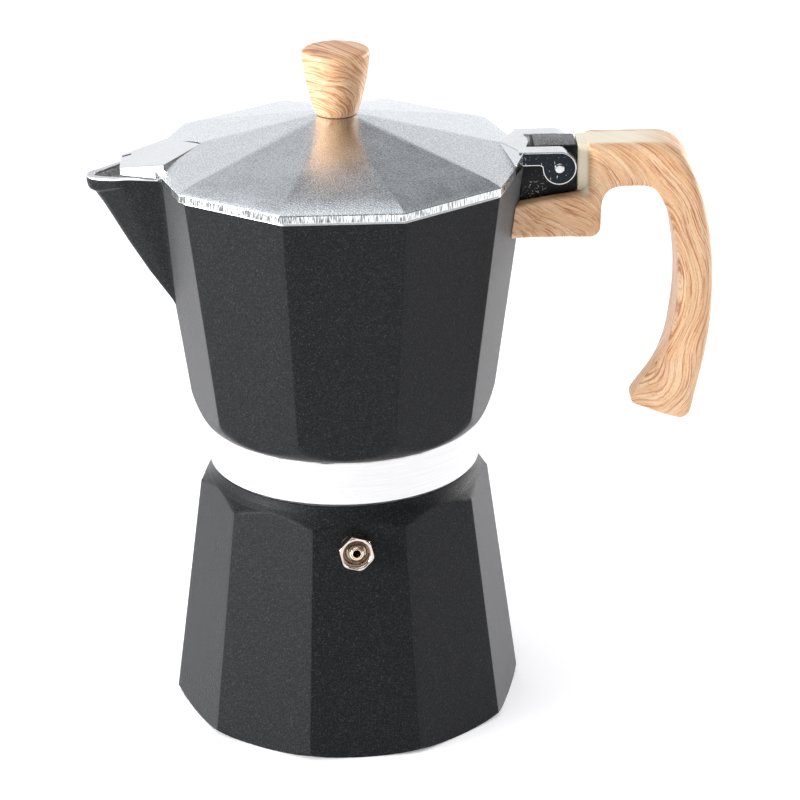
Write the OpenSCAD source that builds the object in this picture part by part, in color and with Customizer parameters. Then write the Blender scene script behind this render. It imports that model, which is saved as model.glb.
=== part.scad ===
// Stovetop coffee maker with a ten-sided boiler, a screwed-on collector,
// a hinged lid with a spout cover, and a side handle.
// Millimetres, +Z up. The origin is on the boiler's axis, on the face it stands on.
// The handle points along +X, the spout along -X.

/* [Boiler] */
// Corner radius of the ten-sided boiler at its base
boiler_r = 52.25; // [51:0.05:54]
// Corner radius lost per millimetre of height
boiler_taper = 0.135; // [0.12:0.005:0.14]
// Angle that the boiler has been screwed round to, in degrees
boiler_turn = 4.2; // [0:0.1:36]
// How far the round face it stands on keeps inside the corners
foot_in = 2.85; // [2.6:0.05:5]
// Height of the turned bottom edge
foot_h = 2; // [1:0.1:3]
// Height where the flat sides end
shoulder_z = 69.2; // [68:0.1:70]
// Height of the ledge under the collector's skirt
ledge_z = 75.7; // [75:0.1:76]
// Width of that ledge outside the neck
ledge_w = 3.3; // [3:0.1:3.8]
// Height of the boiler's rim
mouth_z = 84; // [83.5:0.1:84.5]
// How far the mouth keeps inside the corners of the base
mouth_in = 19.25; // [18.8:0.05:19.6]
// Wall of the neck under the thread
neck_wall = 2.6; // [2.2:0.1:3]
// Thickness of the boiler's floor
boiler_floor = 3.5; // [2.5:0.1:5]
// Thickness of the boiler's wall at the middle of a side
boiler_wall = 3.2; // [2.6:0.1:3.6]
// Depth of the neck's thread
thread_depth = 0.8; // [0.4:0.1:1]
// Rise of the thread in one turn
thread_pitch = 3; // [2.5:0.1:3]

/* [Safety valve] */
// Height of the valve's axis where it leaves the side
valve_z = 63.4; // [52:0.1:63.8]
// Sideways place of the valve from the middle of its side
valve_shift = -1.2; // [-3:0.1:3]
// Width of the hexagon across its flats
valve_hex = 9.2; // [8.6:0.1:11]
// Angle that the hexagon has been screwed round to, in degrees
valve_clock = 14; // [0:1:60]
// Height of the hexagon
valve_head_h = 4; // [3.5:0.1:5]
// Diameter of the valve's thread
valve_thread_d = 7.4; // [7.2:0.1:8]
// Length of the thread from the sealing washer inwards
valve_tail = 7.6; // [7.2:0.1:8]
// Diameter of the valve's inner bore
valve_bore_d = 5.8; // [5.7:0.1:6]
// Diameter of the pin's body where it shows
pin_d = 4.4; // [4.2:0.1:4.6]
// Diameter of the pin's nose and stem
pin_nose_d = 3.1; // [2.8:0.1:3.2]
// Diameter of the hole in the nose
pin_hole_d = 2.1; // [1.6:0.1:2.2]
// Travel of the pin when it blows off
pin_travel = 1.2; // [0.8:0.1:1.4]
// Wire diameter of the valve's spring
spring_wire = 0.5; // [0.4:0.05:0.55]
// Turns of the valve's spring
spring_turns = 4; // [3:1:5]
// Thickness of the sealing washer
valve_washer_t = 0.8; // [0.5:0.1:1]

/* [Funnel] */
// Thickness of the funnel's sheet
funnel_t = 0.8; // [0.6:0.1:1]
// Thickness of the funnel's rolled flange
flange_t = 1; // [0.9:0.1:1.2]
// Depth of the coffee basket under the boiler's rim
basket_depth = 18; // [14:0.5:18]
// Height of the cone between basket and tube
cone_h = 7; // [5:0.5:8]
// Outer radius of the funnel's tube
tube_r = 5.5; // [4.5:0.1:6]
// Gap between the tube's end and the boiler's floor
tube_gap = 2.5; // [1.5:0.1:6]
// Thickness of the sieve in the basket
sieve_t = 0.6; // [0.5:0.1:0.8]
// Distance between the rings of holes in both sieves
hole_pitch = 4.1; // [3.8:0.1:4.2]
// Rings of holes in both sieves
hole_rings = 6; // [3:1:6]
// Diameter of the holes in both sieves
hole_d = 1.3; // [0.8:0.1:1.6]

/* [Seal] */
// Thickness of the gasket
gasket_t = 2.95; // [2.6:0.05:3.2]
// Width of the gasket
gasket_w = 7.5; // [7:0.1:8]
// Gap round the gasket
gasket_gap = 0.6; // [0.4:0.1:1]
// Thickness of the filter plate
plate_t = 0.7; // [0.5:0.05:0.9]
// How far the filter plate reaches over the gasket's inner edge
plate_lap = 2.5; // [1.5:0.1:3]

/* [Collector] */
// How far the rim's corners stand out over those of the boiler's base
collector_over = 1.95; // [1.5:0.05:2.4]
// Corner radius gained per millimetre of height
collector_taper = 0.1358; // [0.13:0.001:0.14]
// Height of the collector's rim
rim_z = 166; // [162:0.1:170]
// Wall of the bare skirt
skirt_wall = 3.2; // [2.8:0.1:3.6]
// Height of the skirt's lower edge
skirt_z = 76.5; // [76.3:0.1:77.5]
// Height where the skirt meets the ten-sided body
band_top = 89.7; // [89:0.1:91]
// Height of the rounding above the skirt
round_h = 7.4; // [6:0.1:9]
// How full that rounding is: 1 is a straight cone, 2 a quarter ellipse
round_power = 1.58; // [1.2:0.02:2]
// Wall thickness of the collector
collector_wall = 2.5; // [2:0.1:3]
// Height of the collector's floor at the wall
floor_z = 92.5; // [92:0.1:94]
// Height of the boss that holds the column
boss_z = 96.8; // [96:0.1:98]
// Clearance round the neck's thread
thread_gap = 0.2; // [0.1:0.05:0.3]

/* [Column] */
// Radius of the column's plug in the floor
column_plug_r = 5; // [4.6:0.1:5.4]
// Radius of the column above its collar
column_r = 6.2; // [5.8:0.1:6.6]
// Radius of the column's collar
collar_r = 8; // [7.4:0.1:8.4]
// Bore radius of the column
column_bore = 3.2; // [2.6:0.1:3.6]
// Height of the column's top
column_top = 150; // [130:1:155]

/* [Spout] */
// How far the lip stands out from the collector's corner
lip_out = 17.9; // [16:0.1:20]
// Radius of the lip in plan
lip_r = 4.5; // [4:0.1:5]
// Height of the lip's top
lip_z = 164.6; // [160.6:0.1:168]
// Depth of the lip's upright band
lip_h = 4.6; // [3:0.1:5]
// Height where the spout grows out of the corner
spout_foot_z = 125; // [118:0.5:132]
// Half the spout's width at the collector's corner
spout_w = 11; // [10:0.1:12]
// Distance of the spout's shoulders from the collector's corner
spout_mid_out = 8.2; // [7:0.1:10]
// Half the spout's width at its shoulders
spout_mid_w = 8.5; // [8:0.1:9]
// Wall thickness of the spout
spout_wall = 2; // [1.6:0.1:2.4]

/* [Lid] */
// How far the lid's corners stand out over the collector's
lid_over = 1.1; // [0.6:0.1:1.6]
// Distance of the lid's centre from the axis, against the handle
lid_x = -0.6; // [-0.8:0.1:0]
// Gap between the collector's rim and the lid
lid_gap = 0.3; // [0.2:0.05:0.4]
// Height of the lid's upright edge
lid_edge = 2.7; // [2.2:0.1:3.2]
// Rise from the edge to the seat of the knob
lid_rise = 12.2; // [10:0.1:14]
// Radius of the seat of the knob
seat_r = 6.4; // [6:0.1:8]
// Thickness of the lid
lid_t = 1.9; // [1.5:0.1:2.4]
// Width of the lid's edge on the rim
lid_land = 3; // [2.6:0.1:3.4]
// Distance of the spout cover's end from the lid's corner
cover_out = 7.3; // [6:0.1:8.5]
// Half the cover's width at its end
cover_end_w = 6.2; // [5.6:0.1:6.6]
// Half the cover's width at its widest
cover_w = 12.2; // [11:0.1:12.6]
// Distance of the widest place inside the lid's corner
cover_wide_in = 5.4; // [4.8:0.1:6.2]
// Distance of the cover's inner point inside the lid's corner
cover_point_in = 15.2; // [14.5:0.1:17]
// Height of the cover's end over the lid's lower edge
cover_end_h = 2; // [1.8:0.1:2.4]
// Rise of the cover towards the knob, per millimetre
cover_slope = 0.2; // [0.18:0.01:0.22]
// Wall thickness of the cover
cover_wall = 1.2; // [1:0.1:1.6]

/* [Hinge] */
// Distance of the hinge pin from the collector's corner
hinge_out = 8; // [7.6:0.1:8.6]
// Height of the hinge pin over the collector's rim
hinge_h = 0.9; // [0.7:0.1:1.1]
// Radius of the hinge pin
hinge_pin_r = 1.5; // [1.2:0.1:1.7]
// Radius of the ears' round ends
ear_r = 4.9; // [4.6:0.1:5]
// Thickness of one ear
ear_t = 5.9; // [5:0.1:6.2]
// Height of the arms
arm_h = 4; // [3.4:0.1:4.4]
// Half the width of the collector's lug
lug_w = 5.4; // [4.8:0.1:5.6]
// Distance of the lug's outer end from the pin
lug_out = 5.5; // [5.1:0.1:5.7]
// Height of the lug's top over the pin
lug_top = 5.1; // [4.8:0.1:5.2]
// Gap between each ear and the lug
ear_gap = 0.3; // [0.2:0.05:0.4]
// Radius of the hollow in which the lug's corner passes
swing_r = 9.6; // [9.4:0.1:9.9]
// How far the lid opens, in degrees
lid_open = 105; // [90:1:110]

/* [Handle] */
// Width of the handle
handle_w = 19; // [17:0.5:21]
// Radius of the handle's long edges
handle_round = 3; // [2:0.1:3.4]
// How far the handle's top stands over the lug's
handle_over = 0.3; // [0:0.1:1]
// Height of the grip's lower end
grip_end = 87.9; // [80:0.1:92]
// Distance of the grip's outermost point from the hinge pin
grip_out = 45.3; // [43:0.1:48]
// Radius of the grip's back
grip_back_r = 115; // [105:1:140]
// Thickness of the bar over the fingers
bar_t = 12.6; // [11:0.1:13]
// Thickness of the grip at its thinnest
grip_t = 10.2; // [9.5:0.1:11]
// Underside of the block that holds the lug
block_z = 144.7; // [144:0.1:147]
// Distance of the block's finger side from the hinge pin
block_out = 12.5; // [11:0.1:13.5]
// Distance of the relief for the ears from the hinge pin
relief_out = 8.5; // [8:0.1:9.3]
// Gap between the handle and the collector
handle_gap = 0.25; // [0.15:0.05:0.4]
// Half the width of the tang that the screw holds
tang_w = 3.2; // [2.8:0.1:3.6]
// Depth of the tang under the lug
tang_h = 7; // [6:0.1:7.5]
// Radius of the handle screw's thread
handle_screw_r = 1.75; // [1.5:0.05:2]
// Radius of the handle screw's head
handle_head_r = 3.2; // [3:0.1:3.6]

/* [Knob] */
// Height of the knob
knob_h = 19; // [16:0.5:24]
// Largest radius of the knob
knob_r = 9.75; // [9:0.05:11]
// Radius of the knob's foot
knob_foot_r = 6.2; // [6:0.1:7]
// Radius of the knob's insert
insert_r = 3.4; // [3.2:0.1:4]
// Length of the insert
insert_h = 9; // [7:0.5:11]
// Radius of the knob screw's thread
knob_screw_r = 2; // [1.8:0.1:2.2]

/* [Hidden] */

sides = 10;
half_side = 180 / sides;
touch = 0.05;        // gap between faces that rest on each other
slip = 0.05;         // radial clearance of a running fit
reach = 60;          // longer than any cut
round_fn = 96;

// Stack of seats, from the boiler's rim up
flange_z = mouth_z + touch;
gasket_z = flange_z + flange_t + touch;
seal_seat_z = gasket_z + gasket_t + touch;

// Radii, from the boiler's base corner inwards and out again
foot_r = boiler_r - foot_in;
mouth_r = boiler_r - mouth_in;
neck_out_r = mouth_r + neck_wall;
thread_r = neck_out_r + thread_depth;
ledge_r = neck_out_r + ledge_w;
skirt_bore = thread_r + thread_gap;
skirt_r = skirt_bore + skirt_wall;
gasket_out_r = skirt_bore - gasket_gap;
gasket_in_r = gasket_out_r - gasket_w;
plate_r = gasket_in_r + plate_lap;
collector_r = boiler_r + collector_over;

lip_x = collector_r + lip_out;
spout_mid_x = collector_r + spout_mid_out;
lid_r = collector_r + lid_over;
cover_x = lid_r + cover_out;
cover_wide_x = lid_r - cover_wide_in;
cover_point_x = lid_r - cover_point_in;
hinge_x = collector_r + hinge_out;
grip_x = hinge_x + grip_out;
block_x = hinge_x + block_out;
relief_x = hinge_x + relief_out;
hinge_z = rim_z + hinge_h;
arm_top = hinge_z + ear_r;
lid_z = rim_z + lid_gap;
lid_slope_z = lid_z + lid_edge;
seat_z = lid_slope_z + lid_rise;
lug_out_x = hinge_x + lug_out;
lug_top_z = hinge_z + lug_top;
handle_top = lug_top_z + handle_over;
ear_out = lug_w + ear_gap + ear_t;

function apothem(r) = r * cos(half_side);
function boiler_corner(z) = boiler_r - boiler_taper * z;
function collector_corner(z) = collector_r - collector_taper * (rim_z - z);

function arc(cx, cy, r, a0, a1, n = 8) =
    [for (i = [0 : n]) let (a = a0 + (a1 - a0) * i / n) [cx + r * cos(a), cy + r * sin(a)]];
function bend(p0, p1, p2, n = 8) =
    [for (i = [0 : n]) let (t = i / n, s = 1 - t) s * s * p0 + 2 * s * t * p1 + t * t * p2];
function curve(p0, p1, p2, p3, n = 8) =
    [for (i = [0 : n]) let (t = i / n, s = 1 - t)
        s * s * s * p0 + 3 * s * s * t * p1 + 3 * s * t * t * p2 + t * t * t * p3];

module ten_sided(r_low, r_high, z_low, z_high) {
    translate([0, 0, z_low])
        cylinder(r1 = r_low, r2 = r_high, h = z_high - z_low, $fn = sides);
}

module turned(points) {
    rotate_extrude($fn = round_fn) polygon(points);
}

module along_y(r, length) {
    rotate([90, 0, 0]) cylinder(r = r, h = length, center = true, $fn = 48);
}

// ---------- boiler ----------

foot_curve = bend([foot_r, 0], [boiler_r - 0.6, foot_h * 0.2], [boiler_r + 0.2, foot_h + 0.6], 4);
shoulder_curve = bend(
    [boiler_corner(shoulder_z), shoulder_z],
    [ledge_r + 0.5, shoulder_z + 3.4],
    [ledge_r, ledge_z], 6);
neck_z = ledge_z + 1.2;
thread_rings = floor((mouth_z - neck_z) / thread_pitch);
thread_teeth = [for (i = [0 : thread_rings * 4]) let (z = neck_z + i * thread_pitch / 4)
    [i % 4 == 0 || i % 4 == 3 ? neck_out_r : thread_r, z]];
cavity_low_r = apothem(boiler_corner(boiler_floor)) - boiler_wall - 0.6;
cavity_high_z = shoulder_z - 3.2;
cavity_high_r = apothem(boiler_corner(cavity_high_z)) - boiler_wall;

valve_tilt = atan(boiler_taper * cos(half_side));

module at_valve() {
    rotate([0, 0, boiler_turn - 90])
        translate([apothem(boiler_corner(valve_z)), valve_shift, valve_z])
            rotate([0, 90 - valve_tilt, 0]) children();
}

module boiler() color("#2e3031") {
    difference() {
        union() {
            intersection() {
                rotate([0, 0, boiler_turn])
                    ten_sided(boiler_r, boiler_corner(ledge_z), 0, ledge_z);
                turned(concat(
                    [[0, 0]], foot_curve,
                    [[boiler_r + 6, foot_h + 4], [boiler_r + 6, shoulder_z - 14]],
                    shoulder_curve,
                    [[0, ledge_z]]));
            }
            turned(concat(
                [[mouth_r - 1, ledge_z - 4], [neck_out_r, ledge_z - 4]],
                thread_teeth,
                [[neck_out_r, mouth_z], [mouth_r - 1, mouth_z]]));
        }
        turned(concat(
            [[0, boiler_floor]],
            arc(cavity_low_r - 3, boiler_floor + 3, 3, -90, 0, 4),
            [[cavity_high_r, cavity_high_z], [mouth_r, cavity_high_z + 6],
             [mouth_r, mouth_z + 1], [0, mouth_z + 1]]));
        at_valve()
            cylinder(d = valve_thread_d + 2 * touch, h = reach / 3, center = true, $fn = 48);
    }
}

// ---------- safety valve ----------

valve_head_z = valve_washer_t + touch;
valve_end_z = valve_head_z - valve_tail;
lip_in_z = valve_head_z + 0.7;
lip_out_z = lip_in_z + 1;
dish_d = valve_hex - 1;
seat_t = 1.4;
plug_t = 0.6;
flange_pin_t = 0.8;
plug_z = valve_end_z + seat_t + touch;
spring_foot_z = plug_z + plug_t + flange_pin_t;
spring_gap = 0.1;

module valve_body() color("#c9b99d") at_valve() {
    difference() {
        union() {
            intersection() {
                translate([0, 0, valve_head_z]) rotate([0, 0, valve_clock])
                    cylinder(d = valve_hex / cos(30), h = valve_head_h, $fn = 6);
                translate([0, 0, valve_head_z - valve_hex / 4])
                    cylinder(d1 = valve_hex * 2, d2 = valve_hex * 1.06,
                             h = valve_head_h + valve_hex / 4, $fn = 64);
            }
            translate([0, 0, valve_end_z])
                cylinder(d = valve_thread_d, h = valve_tail + 1, $fn = 48);
        }
        translate([0, 0, valve_end_z - 1])
            cylinder(d = valve_bore_d, h = lip_in_z - valve_end_z + 1, $fn = 48);
        cylinder(d = pin_d + 2 * slip, h = valve_head_h + 2, $fn = 48);
        translate([0, 0, lip_out_z])
            cylinder(d1 = pin_d + 1.2, d2 = dish_d, h = valve_head_z + valve_head_h - lip_out_z + 0.01, $fn = 64);
    }
}

module valve_washer() color("#b5651d") at_valve() {
    translate([0, 0, touch / 2]) difference() {
        cylinder(d = valve_hex, h = valve_washer_t, $fn = 48);
        translate([0, 0, -1])
            cylinder(d = valve_thread_d + 2 * touch, h = valve_washer_t + 2, $fn = 48);
    }
}

module valve_pin() color("#d8b48c") at_valve() {
    difference() {
        union() {
            translate([0, 0, plug_z])
                cylinder(d = pin_nose_d + 1, h = plug_t + 0.1, $fn = 48);
            translate([0, 0, plug_z + plug_t])
                cylinder(d = valve_bore_d - 2 * slip, h = flange_pin_t, $fn = 48);
            translate([0, 0, plug_z])
                cylinder(d = pin_nose_d, h = valve_head_z + valve_head_h - 0.2 - plug_z, $fn = 48);
            translate([0, 0, lip_in_z + 0.1])
                cylinder(d = pin_d, h = valve_head_h - 1.8, $fn = 48);
        }
        translate([0, 0, valve_head_z + valve_head_h - 3.2])
            cylinder(d = pin_hole_d, h = 4, $fn = 32);
    }
}

// A round wire along a helix, as rings of points joined by quads
module coil_spring(coil_r, wire_d, z_low, z_high, turns, steps = 20, ring = 8) {
    count = turns * steps;
    rise = z_high - z_low - wire_d;
    points = [for (i = [0 : count]) let (a = 360 * i / steps) for (j = [0 : ring - 1])
        let (b = 360 * j / ring, r = coil_r + wire_d / 2 * cos(b))
        [r * cos(a), r * sin(a), z_low + wire_d / 2 + rise * i / count + wire_d / 2 * sin(b)]];
    walls = [for (i = [0 : count - 1]) for (j = [0 : ring - 1]) let (k = (j + 1) % ring)
        [i * ring + j, i * ring + k, (i + 1) * ring + k, (i + 1) * ring + j]];
    ends = [[for (j = [ring - 1 : -1 : 0]) j], [for (j = [0 : ring - 1]) count * ring + j]];
    polyhedron(points, concat(walls, ends));
}

module valve_spring() color("#b8bcc0") at_valve() {
    coil_spring(
        (valve_bore_d + pin_nose_d) / 4, spring_wire,
        spring_foot_z + spring_gap, lip_in_z - spring_gap, spring_turns);
}

module valve_seat() color("#c9b99d") at_valve() {
    translate([0, 0, valve_end_z]) difference() {
        cylinder(d = valve_bore_d - 2 * touch, h = seat_t, $fn = 48);
        translate([0, 0, -1]) cylinder(d = pin_nose_d - 0.3, h = seat_t + 2, $fn = 32);
    }
}

// ---------- funnel and sieves ----------

basket_r = mouth_r - 0.4;
flange_r = neck_out_r - 0.6;
basket_z = mouth_z - basket_depth;
tube_top_z = basket_z - cone_h;
tube_end_z = boiler_floor + tube_gap;

module sieve_holes(t) {
    for (ring = [0 : hole_rings]) {
        holes = max(1, ring * 6);
        for (i = [0 : holes - 1])
            rotate([0, 0, 360 * i / holes]) translate([ring * hole_pitch, 0, -1])
                cylinder(d = hole_d, h = t + 2, $fn = 16);
    }
}

module funnel() color("#c7c9cb") {
    turned([
        [tube_r, tube_end_z], [tube_r, tube_top_z], [basket_r, basket_z],
        [basket_r, flange_z], [flange_r, flange_z], [flange_r, flange_z + flange_t],
        [basket_r - funnel_t, flange_z + flange_t], [basket_r - funnel_t, basket_z + 0.4],
        [tube_r - funnel_t, tube_top_z + 0.4], [tube_r - funnel_t, tube_end_z]
    ]);
}

module funnel_sieve() color("#d4d6d8") {
    translate([0, 0, basket_z + 0.4 + touch]) difference() {
        cylinder(r = basket_r - funnel_t - 0.1, h = sieve_t, $fn = round_fn);
        sieve_holes(sieve_t);
    }
}

// ---------- seal ----------

plate_seat_z = seal_seat_z - touch - plate_t;

module gasket() color("#e9e6df") {
    turned([
        [gasket_in_r, gasket_z], [gasket_out_r, gasket_z],
        [gasket_out_r, gasket_z + gasket_t], [plate_r + 0.2, gasket_z + gasket_t],
        [plate_r + 0.2, plate_seat_z - touch], [gasket_in_r, plate_seat_z - touch]
    ]);
}

module filter_plate() color("#d4d6d8") {
    translate([0, 0, plate_seat_z]) difference() {
        cylinder(r = plate_r, h = plate_t, $fn = round_fn);
        sieve_holes(plate_t);
    }
}

// ---------- collector ----------

round_top = band_top + round_h;
round_steps = 8;
function round_r(t) = skirt_r + (collector_corner(band_top + t * round_h) - skirt_r)
    * pow(1 - pow(1 - t, round_power), 1 / round_power);
round_curve = [for (i = [1 : round_steps]) let (t = pow(i / round_steps, 2))
    [round_r(t), band_top + t * round_h]];

wall_corner = collector_wall / cos(half_side);
lug_low_x = collector_corner(rim_z) - 4;
lug_low_z = rim_z - 10.6;
lug_end_z = lug_low_z + 2.8;
tang_x = [hinge_x - 8, hinge_x + 2];
tang_z = lug_low_z - tang_h + 1.5;
handle_screw_x = (tang_x[0] + tang_x[1]) / 2;

module spout_skin() {
    hull() {
        translate([lip_r - lip_x, 0, lip_z - 0.8]) cylinder(r = lip_r, h = 0.8, $fn = 32);
        translate([-collector_corner(spout_foot_z) + 1, 0, spout_foot_z])
            cylinder(r = 1, h = 1, $fn = 32);
        for (side = [-1, 1]) {
            translate([-spout_mid_x, side * (spout_mid_w - 1), rim_z - 1]) cylinder(r = 1, h = 1, $fn = 32);
            translate([-collector_corner(rim_z) + 5, side * (spout_w - 1), rim_z - 1])
                cylinder(r = 1, h = 1, $fn = 32);
        }
    }
    hull() {
        translate([lip_r - lip_x, 0, lip_z - lip_h + 1]) cylinder(r = lip_r, h = lip_h - 1, $fn = 32);
        translate([lip_r - lip_x + 0.8, 0, lip_z - lip_h]) cylinder(r = lip_r - 0.8, h = 1, $fn = 32);
        for (side = [-1, 1])
            translate([-spout_mid_x, side * (spout_mid_w - 2.4), rim_z - 4]) cylinder(r = 1, h = 3, $fn = 32);
    }
}

module spout_channel() {
    hull() {
        translate([lip_r - lip_x, 0, lip_z - 2.4]) cylinder(r = lip_r - spout_wall, h = 8, $fn = 32);
        translate([-collector_corner(spout_foot_z) + 7, 0, spout_foot_z + 5])
            cylinder(r = 1, h = 1, $fn = 32);
        for (side = [-1, 1]) {
            translate([-spout_mid_x, side * (spout_mid_w - spout_wall - 1), rim_z - 3])
                cylinder(r = 1, h = 8, $fn = 32);
            translate([-collector_corner(rim_z) + 7, side * (spout_w - spout_wall - 1), rim_z - 3])
                cylinder(r = 1, h = 8, $fn = 32);
        }
    }
}

module lug_side() {
    polygon([
        [lug_low_x, lug_low_z], [lug_out_x, lug_end_z], [lug_out_x, lug_top_z - 1],
        [lug_out_x - 1, lug_top_z], [hinge_x - 6.8, lug_top_z],
        [hinge_x - 6.8, rim_z - 0.1], [lug_low_x, rim_z - 0.1]
    ]);
}

module collector() color("#2e3031") {
    difference() {
        union() {
            intersection() {
                ten_sided(collector_corner(skirt_z), collector_r, skirt_z, rim_z);
                turned(concat(
                    [[0, skirt_z], [skirt_r, skirt_z], [skirt_r, band_top]],
                    round_curve,
                    [[collector_r + 10, round_top + 4], [collector_r + 10, rim_z], [0, rim_z]]));
            }
            difference() {
                spout_skin();
                translate([0, 0, rim_z - reach])
                    cylinder(r = collector_corner(rim_z) - 6, h = reach, $fn = round_fn);
            }
            rotate([90, 0, 0]) linear_extrude(2 * lug_w, center = true) lug_side();
            translate([tang_x[0], -tang_w, tang_z])
                cube([tang_x[1] - tang_x[0], 2 * tang_w, tang_h]);
        }
        intersection() {
            ten_sided(
                collector_corner(skirt_z) - wall_corner, collector_corner(rim_z + 1) - wall_corner,
                skirt_z, rim_z + 1);
            turned([
                [0, boss_z], [collar_r + 1, boss_z], [skirt_r - 5.8, floor_z], [skirt_r - 2.8, floor_z + 1],
                [skirt_r - 0.2, floor_z + 4.5], [skirt_r + 2.2, floor_z + 12], [collector_r, floor_z + 20],
                [collector_r, rim_z + 1], [0, rim_z + 1]
            ]);
        }
        spout_channel();
        turned([
            [0, skirt_z - 1], [skirt_bore, skirt_z - 1], [skirt_bore, seal_seat_z],
            [gasket_in_r - 1, seal_seat_z], [column_plug_r + 1, boss_z - 3.5],
            [column_plug_r + touch, boss_z - 3.5], [column_plug_r + touch, boss_z + 1], [0, boss_z + 1]
        ]);
        translate([hinge_x, 0, hinge_z]) along_y(hinge_pin_r + slip, reach);
        translate([handle_screw_x, 0, tang_z - 1])
            cylinder(r = handle_screw_r + touch, h = tang_h + 2.5, $fn = 32);
    }
}

module riser_column() color("#c7c9cb") {
    difference() {
        turned(concat(
            [[column_bore, boss_z - 3.4], [column_plug_r, boss_z - 3.4],
             [column_plug_r, boss_z + touch], [collar_r, boss_z + touch],
             [collar_r, boss_z + 1.2], [column_r, boss_z + 2.2], [column_r - 1, column_top - 4]],
            bend([column_r - 1, column_top - 4], [column_r - 1, column_top], [0, column_top], 6),
            [[0, column_top - 3], [column_bore, column_top - 5]]));
        translate([0, 0, column_top - 8]) rotate([90, 0, 0])
            cylinder(r = column_bore - 0.8, h = reach, center = true, $fn = 32);
    }
}

// ---------- lid ----------

cover_end_z = lid_z + cover_end_h;

module cover_plan(inset) {
    polygon([
        [-cover_x - (inset > 0 ? 5 : 0), -cover_end_w + inset * 1.1],
        [-cover_wide_x + inset * 0.3, -cover_w + inset * 1.1],
        [-cover_point_x - inset * 1.5, 0],
        [-cover_wide_x + inset * 0.3, cover_w - inset * 1.1],
        [-cover_x - (inset > 0 ? 5 : 0), cover_end_w - inset * 1.1]
    ]);
}

module under_cover(drop) {
    translate([-cover_x, 0, cover_end_z - drop]) rotate([0, -atan(cover_slope), 0])
        translate([-reach / 2, -reach / 2, -reach / 2]) cube([reach * 1.5, reach, reach / 2]);
}

module hinge_arms() {
    linear_extrude(arm_top - lid_z)
        polygon([
            [hinge_x - 17, 0], [hinge_x - 10.2, -ear_out], [hinge_x - 8.8, -ear_out],
            [hinge_x - 8.8, ear_out], [hinge_x - 10.2, ear_out]
        ]);
    for (side = [-1, 1]) translate([0, side * (ear_out - ear_t / 2), 0]) {
        translate([hinge_x - 10.2, -ear_t / 2, arm_top - lid_z - arm_h]) cube([10.2, ear_t, arm_h]);
        translate([hinge_x, 0, hinge_z - lid_z]) along_y(ear_r, ear_t);
    }
}

module lid() color("#d9dbdd") {
    difference() {
        union() {
            translate([lid_x, 0, 0]) {
                ten_sided(lid_r, lid_r, lid_z, lid_slope_z);
                ten_sided(lid_r - 0.7, seat_r, lid_slope_z, seat_z);
            }
            intersection() {
                translate([0, 0, lid_z]) linear_extrude(reach / 4) cover_plan(0);
                under_cover(0);
            }
            intersection() {
                translate([0, 0, lid_z]) hinge_arms();
                translate([hinge_x - reach, -reach / 2, lid_z]) cube([2 * reach, reach, reach / 2]);
            }
        }
        translate([lid_x, 0, 0]) {
            ten_sided(lid_r - lid_land, lid_r - lid_land, lid_z - 1, lid_z + 1);
            ten_sided(lid_r - lid_land, seat_r, lid_z + 0.99, seat_z - lid_t);
            translate([0, 0, lid_z]) cylinder(r = knob_screw_r + 0.2, h = reach / 2, $fn = 32);
        }
        intersection() {
            translate([0, 0, lid_z - 1]) linear_extrude(reach / 4) cover_plan(cover_wall);
            under_cover(cover_wall);
        }
        intersection() {
            translate([hinge_x, 0, hinge_z]) along_y(swing_r, 2 * (lug_w + ear_gap));
            translate([hinge_x - reach, -lug_w - ear_gap, hinge_z - reach])
                cube([2 * reach, 2 * (lug_w + ear_gap), 2 * reach]);
        }
        translate([hinge_x, 0, hinge_z]) along_y(hinge_pin_r + touch / 2, reach);
    }
}

module hinge_pin() color("#c4c8cc") {
    translate([hinge_x, 0, hinge_z]) along_y(hinge_pin_r, 2 * ear_out + 0.2);
}

// ---------- knob ----------

knob_z = seat_z + touch;
knob_top = knob_z + knob_h;
screw_head_h = 2.4;
washer_t = 0.6;
lid_under_z = seat_z - lid_t;
insert_z = knob_z + 0.2;

module knob() color("#d9a877") {
    translate([lid_x, 0, 0]) difference() {
        turned(concat(
            [[0, knob_z], [knob_foot_r - 0.8, knob_z]],
            bend([knob_foot_r - 0.4, knob_z + 0.3], [knob_r - 1.15, knob_z + knob_h * 0.38],
                 [knob_r, knob_top - 2], 8),
            bend([knob_r, knob_top - 1.7], [knob_r - 0.2, knob_top - 0.2], [knob_r - 1.7, knob_top - 0.1], 4),
            [[0, knob_top]]));
        translate([0, 0, knob_z - 1]) cylinder(r = insert_r + touch, h = insert_h + 1.4, $fn = 48);
    }
}

module knob_insert() color("#c9a24a") {
    translate([lid_x, 0, insert_z]) difference() {
        cylinder(r = insert_r, h = insert_h, $fn = 48);
        translate([0, 0, -1]) cylinder(r = knob_screw_r + slip, h = insert_h + 2, $fn = 32);
    }
}

module knob_washer() color("#c4c8cc") {
    translate([lid_x, 0, lid_under_z - touch - washer_t]) difference() {
        cylinder(r = 4.4, h = washer_t, $fn = 48);
        translate([0, 0, -1]) cylinder(r = knob_screw_r + 0.2, h = washer_t + 2, $fn = 32);
    }
}

module knob_screw() color("#c4c8cc") {
    head_top = lid_under_z - washer_t - 2 * touch;
    translate([lid_x, 0, 0]) difference() {
        union() {
            translate([0, 0, head_top - screw_head_h]) cylinder(r = 3.6, h = screw_head_h, $fn = 48);
            translate([0, 0, head_top - 0.1])
                cylinder(r = knob_screw_r, h = insert_z + insert_h - 1 - head_top, $fn = 32);
        }
        for (turn = [0, 90]) rotate([0, 0, turn]) translate([-2.2, -0.5, head_top - screw_head_h - 0.1])
            cube([4.4, 1, 1.4]);
    }
}

// ---------- handle ----------

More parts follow.
